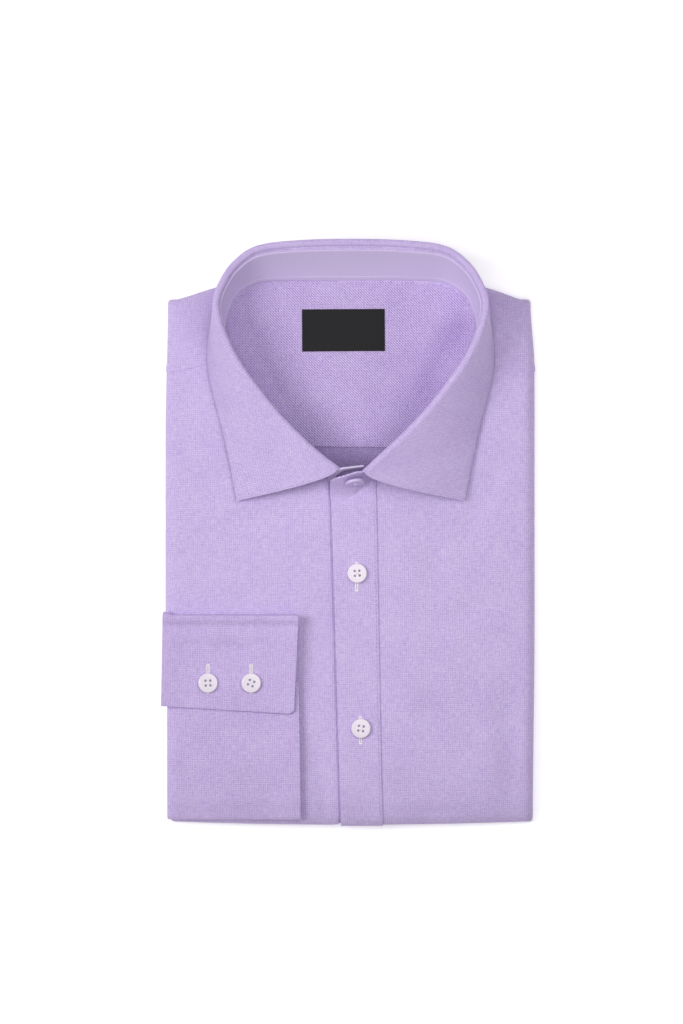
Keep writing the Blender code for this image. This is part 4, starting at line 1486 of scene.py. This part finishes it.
@dataclass
class ButtonSet:
    """Five four-hole buttons, their thread, and the worked buttonholes under four of them."""

    form: FoldedForm
    finishes: Wardrobe
    cuff: BarrelCuff
    radius: float = 6.0
    thickness: float = 2.0
    lip: float = 0.6
    hole_radius: float = 0.74
    hole_pitch: float = 2.9
    strand_radius: float = 0.2
    leg_radius: float = 0.62
    purl_pitch: float = 0.48
    purl_aside: float = 0.64
    purl_lean: float = 0.16
    bar_half: float = 0.8
    front_y: tuple[float, float] = (-24.8, -120.4)
    front_reaches: tuple[tuple[float, float], ...] = ((6.3, 10.9), (7.1, 9.5))
    front_shift: float = 1.0
    cuff_x: tuple[float, float] = (-85.9, -59.3)
    cuff_y: float = -92.4
    front_turns: tuple[float, float] = (4.0, -8.0)
    cuff_turns: tuple[float, float] = (2.0, -22.0)
    cuff_reach: tuple[float, float] = (11.0, 6.2)
    seat: float = 0.35
    neck_place: tuple[float, float, float] = (4.4, 31.9, 36.0)
    neck_tilt: float = 74.0
    neck_turn: float = 9.0

    def hole_places(self) -> list[Vector]:
        """The four holes' middles on the button's own face."""
        reach = self.hole_pitch / math.sqrt(2.0)
        return [Vector((reach * math.cos(math.radians(angle)), reach * math.sin(math.radians(angle)), 0.0))
                for angle in (45.0, 135.0, 225.0, 315.0)]

    def build_button(self, name: str, node: str, place: Matrix, material: bpy.types.Material) -> None:
        """Model one button: a disc with four holes, raised to a thickness, with a soft lip.

        Args:
            name: what the piece is called.
            node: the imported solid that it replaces.
            place: where its underside goes, in millimetres.
            material: its finish.
        """
        model = bmesh.new()
        bmesh.ops.create_circle(model, cap_ends=False, segments=64, radius=self.radius)
        for middle in self.hole_places():
            bmesh.ops.create_circle(model, cap_ends=False, segments=20, radius=self.hole_radius,
                                    matrix=Matrix.Translation(middle))
        bmesh.ops.triangle_fill(model, edges=model.edges[:], use_beauty=True)
        for face in list(model.faces):
            centre = face.calc_center_median()
            if any((centre - middle).length < self.hole_radius * 0.9 for middle in self.hole_places()):
                model.faces.remove(face)
        made = bmesh.ops.extrude_face_region(model, geom=model.faces[:])["geom"]
        raised = [part for part in made if isinstance(part, bmesh.types.BMVert)]
        bmesh.ops.translate(model, verts=raised, vec=(0.0, 0.0, self.thickness))
        bmesh.ops.recalc_face_normals(model, faces=model.faces)
        outer = [edge for edge in model.edges
                 if all(abs(vertex.co.xy.length - self.radius) < 0.01 for vertex in edge.verts)
                 and abs(edge.verts[0].co.z - edge.verts[1].co.z) < 0.01]
        bmesh.ops.bevel(model, geom=outer, offset=self.lip, offset_type="OFFSET", segments=4, profile=0.5,
                        affect="EDGES", material=-1)
        bmesh.ops.transform(model, matrix=Matrix.Scale(MM, 4) @ place, verts=model.verts)
        piece = finish_piece(model, name, material)
        piece.data.set_sharp_from_angle(angle=math.radians(38.0))
        stands_for(piece, node)

    def build_thread(self, name: str, place: Matrix, material: bpy.types.Material) -> None:
        """Sew a button on: two crossing pairs of strands over its face, and legs in its holes.

        Args:
            name: what the piece over the face is called.
            place: where the button's underside is, in millimetres.
            material: the finish of the strands.
        """
        holes = self.hole_places()
        height = self.thickness + 0.08
        strands = []
        for first, second in ((holes[0], holes[2]), (holes[1], holes[3])):
            across = (second - first).normalized()
            aside = Vector((-across.y, across.x, 0.0)) * self.strand_radius
            for shift in (-1.0, 1.0):
                middle = (first + second) / 2.0 + aside * shift + Vector((0.0, 0.0, height))
                strands.append((middle, across))
        moved = [(place @ middle, place.to_3x3() @ across) for middle, across in strands]
        piece = stitch_row(name, moved, self.hole_pitch * 1.25, self.strand_radius, material, 8)
        up = Vector((0.0, 0.0, 1.0))
        legs = [(place @ (hole + up * self.thickness / 2.0), place.to_3x3() @ up) for hole in holes]
        length = self.thickness * 0.9
        piece = stitch_row(f"{name}_legs", legs, length, self.leg_radius, self.finishes.thread, 10)

    def build_hole(self, name: str, slot: str, middle: tuple[float, float], above: float, below: float,
                   height: Callable[[float, float], float]) -> None:
        """Work one buttonhole along Y: purl stitches down both lips, and a bar at each end.

        Args:
            name: what the piece is called.
            slot: not used.
            middle: the button's middle, which the hole passes under.
            above, below: how far the hole runs past it, towards the collar and the hem.
            height: the cloth's surface under the hole.
        """
        stitches = []
        x, y = middle
        count = round((above + below) / self.purl_pitch)
        for index in range(count):
            spot = y - below + (above + below) * (index + 0.5) / count
            for side in (-1.0, 1.0):
                lean = Vector((side, self.purl_lean, 0.0)).normalized()
                stitches.append((Vector((x + side * self.purl_aside, spot, height(x, spot) + 0.1)), lean))
        for spot in (y - below, y + above):
            for step in spread(-self.bar_half, self.bar_half, 5):
                stitches.append((Vector((x + step, spot, height(x, spot) + 0.14)), Vector((0.0, 1.0, 0.0))))
        piece = stitch_row(name, stitches, 1.15, 0.27, self.finishes.white)

    def fasten(self, piece: str, button: str, cloth: str, number: int, middle: tuple[float, float],
               turn: float, reach: tuple[float, float], height: Callable[[float, float], float],
               aside: float = 0.0) -> None:
        """Sew one button over its worked buttonhole.

        Args:
            piece: how the pieces' names start.
            button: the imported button's name without its number.
            cloth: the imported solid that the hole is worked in.
            number: which button of its row this is.
            middle: the button's middle.
            turn: how far its holes are turned, in degrees.
            reach: how far the buttonhole runs past it, towards the collar and the hem.
            height: the cloth's surface.
            aside: how far the buttonhole lies to the right of the button's middle.
        """
        x, y = middle
        place = Matrix.Translation((x, y, height(x, y) + self.seat))
        place = place @ Matrix.Rotation(math.radians(turn), 4, "Z")
        node = f"{button}_{number}"
        self.build_button(f"{piece}_button_{number}", node, place, self.finishes.button)
        self.build_thread(f"{piece}_button_thread_{number}", place, self.finishes.white)
        self.build_hole(f"{piece}_buttonhole_{number}", cloth, (x + aside, y), *reach, height)

    def build(self, panels: BodyPanels) -> None:
        """Sew on all five buttons.

        Args:
            panels: the fronts, whose surface the placket's buttons follow.
        """
        form = self.form

        def front(x: float, y: float) -> float:
            """Height of the placket's face."""
            return form.height(x, y) + panels.surface(x, y) + panels.placket_wall + 0.05

        def flap(x: float, y: float) -> float:
            """Height of the cuff's upper face."""
            above = self.cuff.gap + self.cuff.wall / 2.0 + 2.0 * self.cuff.level
            return form.height(x, y) + above + self.cuff.lift_at(x, y, above) + self.cuff.wall / 2.0

        row = zip(self.front_y, self.front_turns, self.front_reaches)
        for number, (y, turn, reach) in enumerate(row, start=1):
            x = (form.placket_edge(y) + form.placket_seam(y)) / 2.0 + self.front_shift
            self.fasten("placket", "front_button", "front_placket", number, (x, y), turn, reach, front, -0.2)
        for number, (x, turn) in enumerate(zip(self.cuff_x, self.cuff_turns), start=1):
            self.fasten("barrel_cuff", "cuff_button", "cuff", number, (x, self.cuff_y), turn, self.cuff_reach,
                        flap)
        place = Matrix.Translation(self.neck_place) @ Matrix.Rotation(math.radians(self.neck_turn), 4, "Z")
        place = place @ Matrix.Rotation(math.radians(self.neck_tilt), 4, "X")
        # The neck button takes a lilac colour as painted shade under the band.
        self.build_button("collar_button", "neck_button", place, self.finishes.lilac)
        self.build_thread("collar_button_thread", place, self.finishes.pale)


# The studio


@dataclass
class Studio:
    """A pale floor, soft light and a camera straight above the shirt."""

    aim: tuple[float, float] = (-0.0037, 0.0129)
    distance: float = 6.0
    frame_height: float = 0.631
    surface_height: float = 0.018
    floor_size: float = 8.0
    floor_glow: float = 0.38
    room_light: float = 0.31

    def build(self) -> None:
        """The floor, the room's light, the two lamps and the camera."""
        model = bmesh.new()
        bmesh.ops.create_grid(model, x_segments=2, y_segments=2, size=self.floor_size / 2.0)
        mesh = bpy.data.meshes.new("floor")
        model.to_mesh(mesh)
        model.free()
        paper, tree = new_material("matt white paper")
        place = add_node(tree, "ShaderNodeTexCoord").outputs["Object"]
        fibre = add_node(tree, "ShaderNodeTexNoise", {"Scale": 900.0, "Detail": 2.0}, {"Vector": place})
        colour = dress(tree, ("FAFAFA", "FDFDFD"), fibre.outputs["Fac"],
                       {"Emission Strength": self.floor_glow, "Roughness": 0.95})
        tree.links.new(colour, tree.nodes["Principled BSDF"].inputs["Emission Color"])
        mesh.materials.append(paper)
        floor = bpy.data.objects.new("floor", mesh)
        floor.location.z = -0.0002
        bpy.context.scene.collection.objects.link(floor)
        world = bpy.data.worlds.new("soft room")
        world.use_nodes = True
        world.node_tree.nodes["Background"].inputs["Color"].default_value = (1.0, 1.0, 1.0, 1.0)
        world.node_tree.nodes["Background"].inputs["Strength"].default_value = self.room_light
        bpy.context.scene.world = world
        self.lamp("key", (-1.15, 0.12, 1.35), 0.8, 15.2)
        self.lamp("overhead", (0.09, 0.06, 0.5), 0.4, 1.2)
        self.place_camera()
        bpy.context.scene.view_settings.view_transform = "Standard"

    def lamp(self, name: str, place: tuple[float, float, float], size: float, power: float) -> None:
        """Add a square soft lamp that faces the shirt.

        Args:
            name: the lamp's name.
            place: where it hangs, in metres.
            size: its side in metres.
            power: its power in watts.
        """
        light = bpy.data.lights.new(name, "AREA")
        light.size = size
        light.energy = power
        made = bpy.data.objects.new(name, light)
        made.location = place
        made.rotation_euler = (-Vector(place)).to_track_quat("-Z", "Y").to_euler()
        bpy.context.scene.collection.objects.link(made)

    def place_camera(self) -> None:
        """Hang the camera over the shirt, with the collar at the top of the frame."""
        lens = bpy.data.cameras.new("camera")
        lens.sensor_width = 36.0
        lens.lens = lens.sensor_width * (self.distance - self.surface_height) / self.frame_height
        camera = bpy.data.objects.new("camera", lens)
        camera.location = (*self.aim, self.distance)
        bpy.context.scene.collection.objects.link(camera)
        bpy.context.scene.camera = camera


def main() -> None:
    """Build the shirt from its body out, then light it."""
    logging.basicConfig(level=logging.INFO, format="%(name)s: %(message)s")
    form = FoldedForm()
    neckline = Neckline(form)
    finishes = Wardrobe()
    panels = BodyPanels(form, neckline, finishes)
    panels.build_stack()
    panels.build_fronts()
    panels.build_placket()
    panels.build_yoke()
    NeckInside(form, neckline, finishes).build()
    Collar(form, finishes).build()
    cuff = BarrelCuff(form, finishes)
    cuff.build()
    ButtonSet(form, finishes, cuff).build(panels)
    Studio().build()


if __name__ == "__main__":
    main()
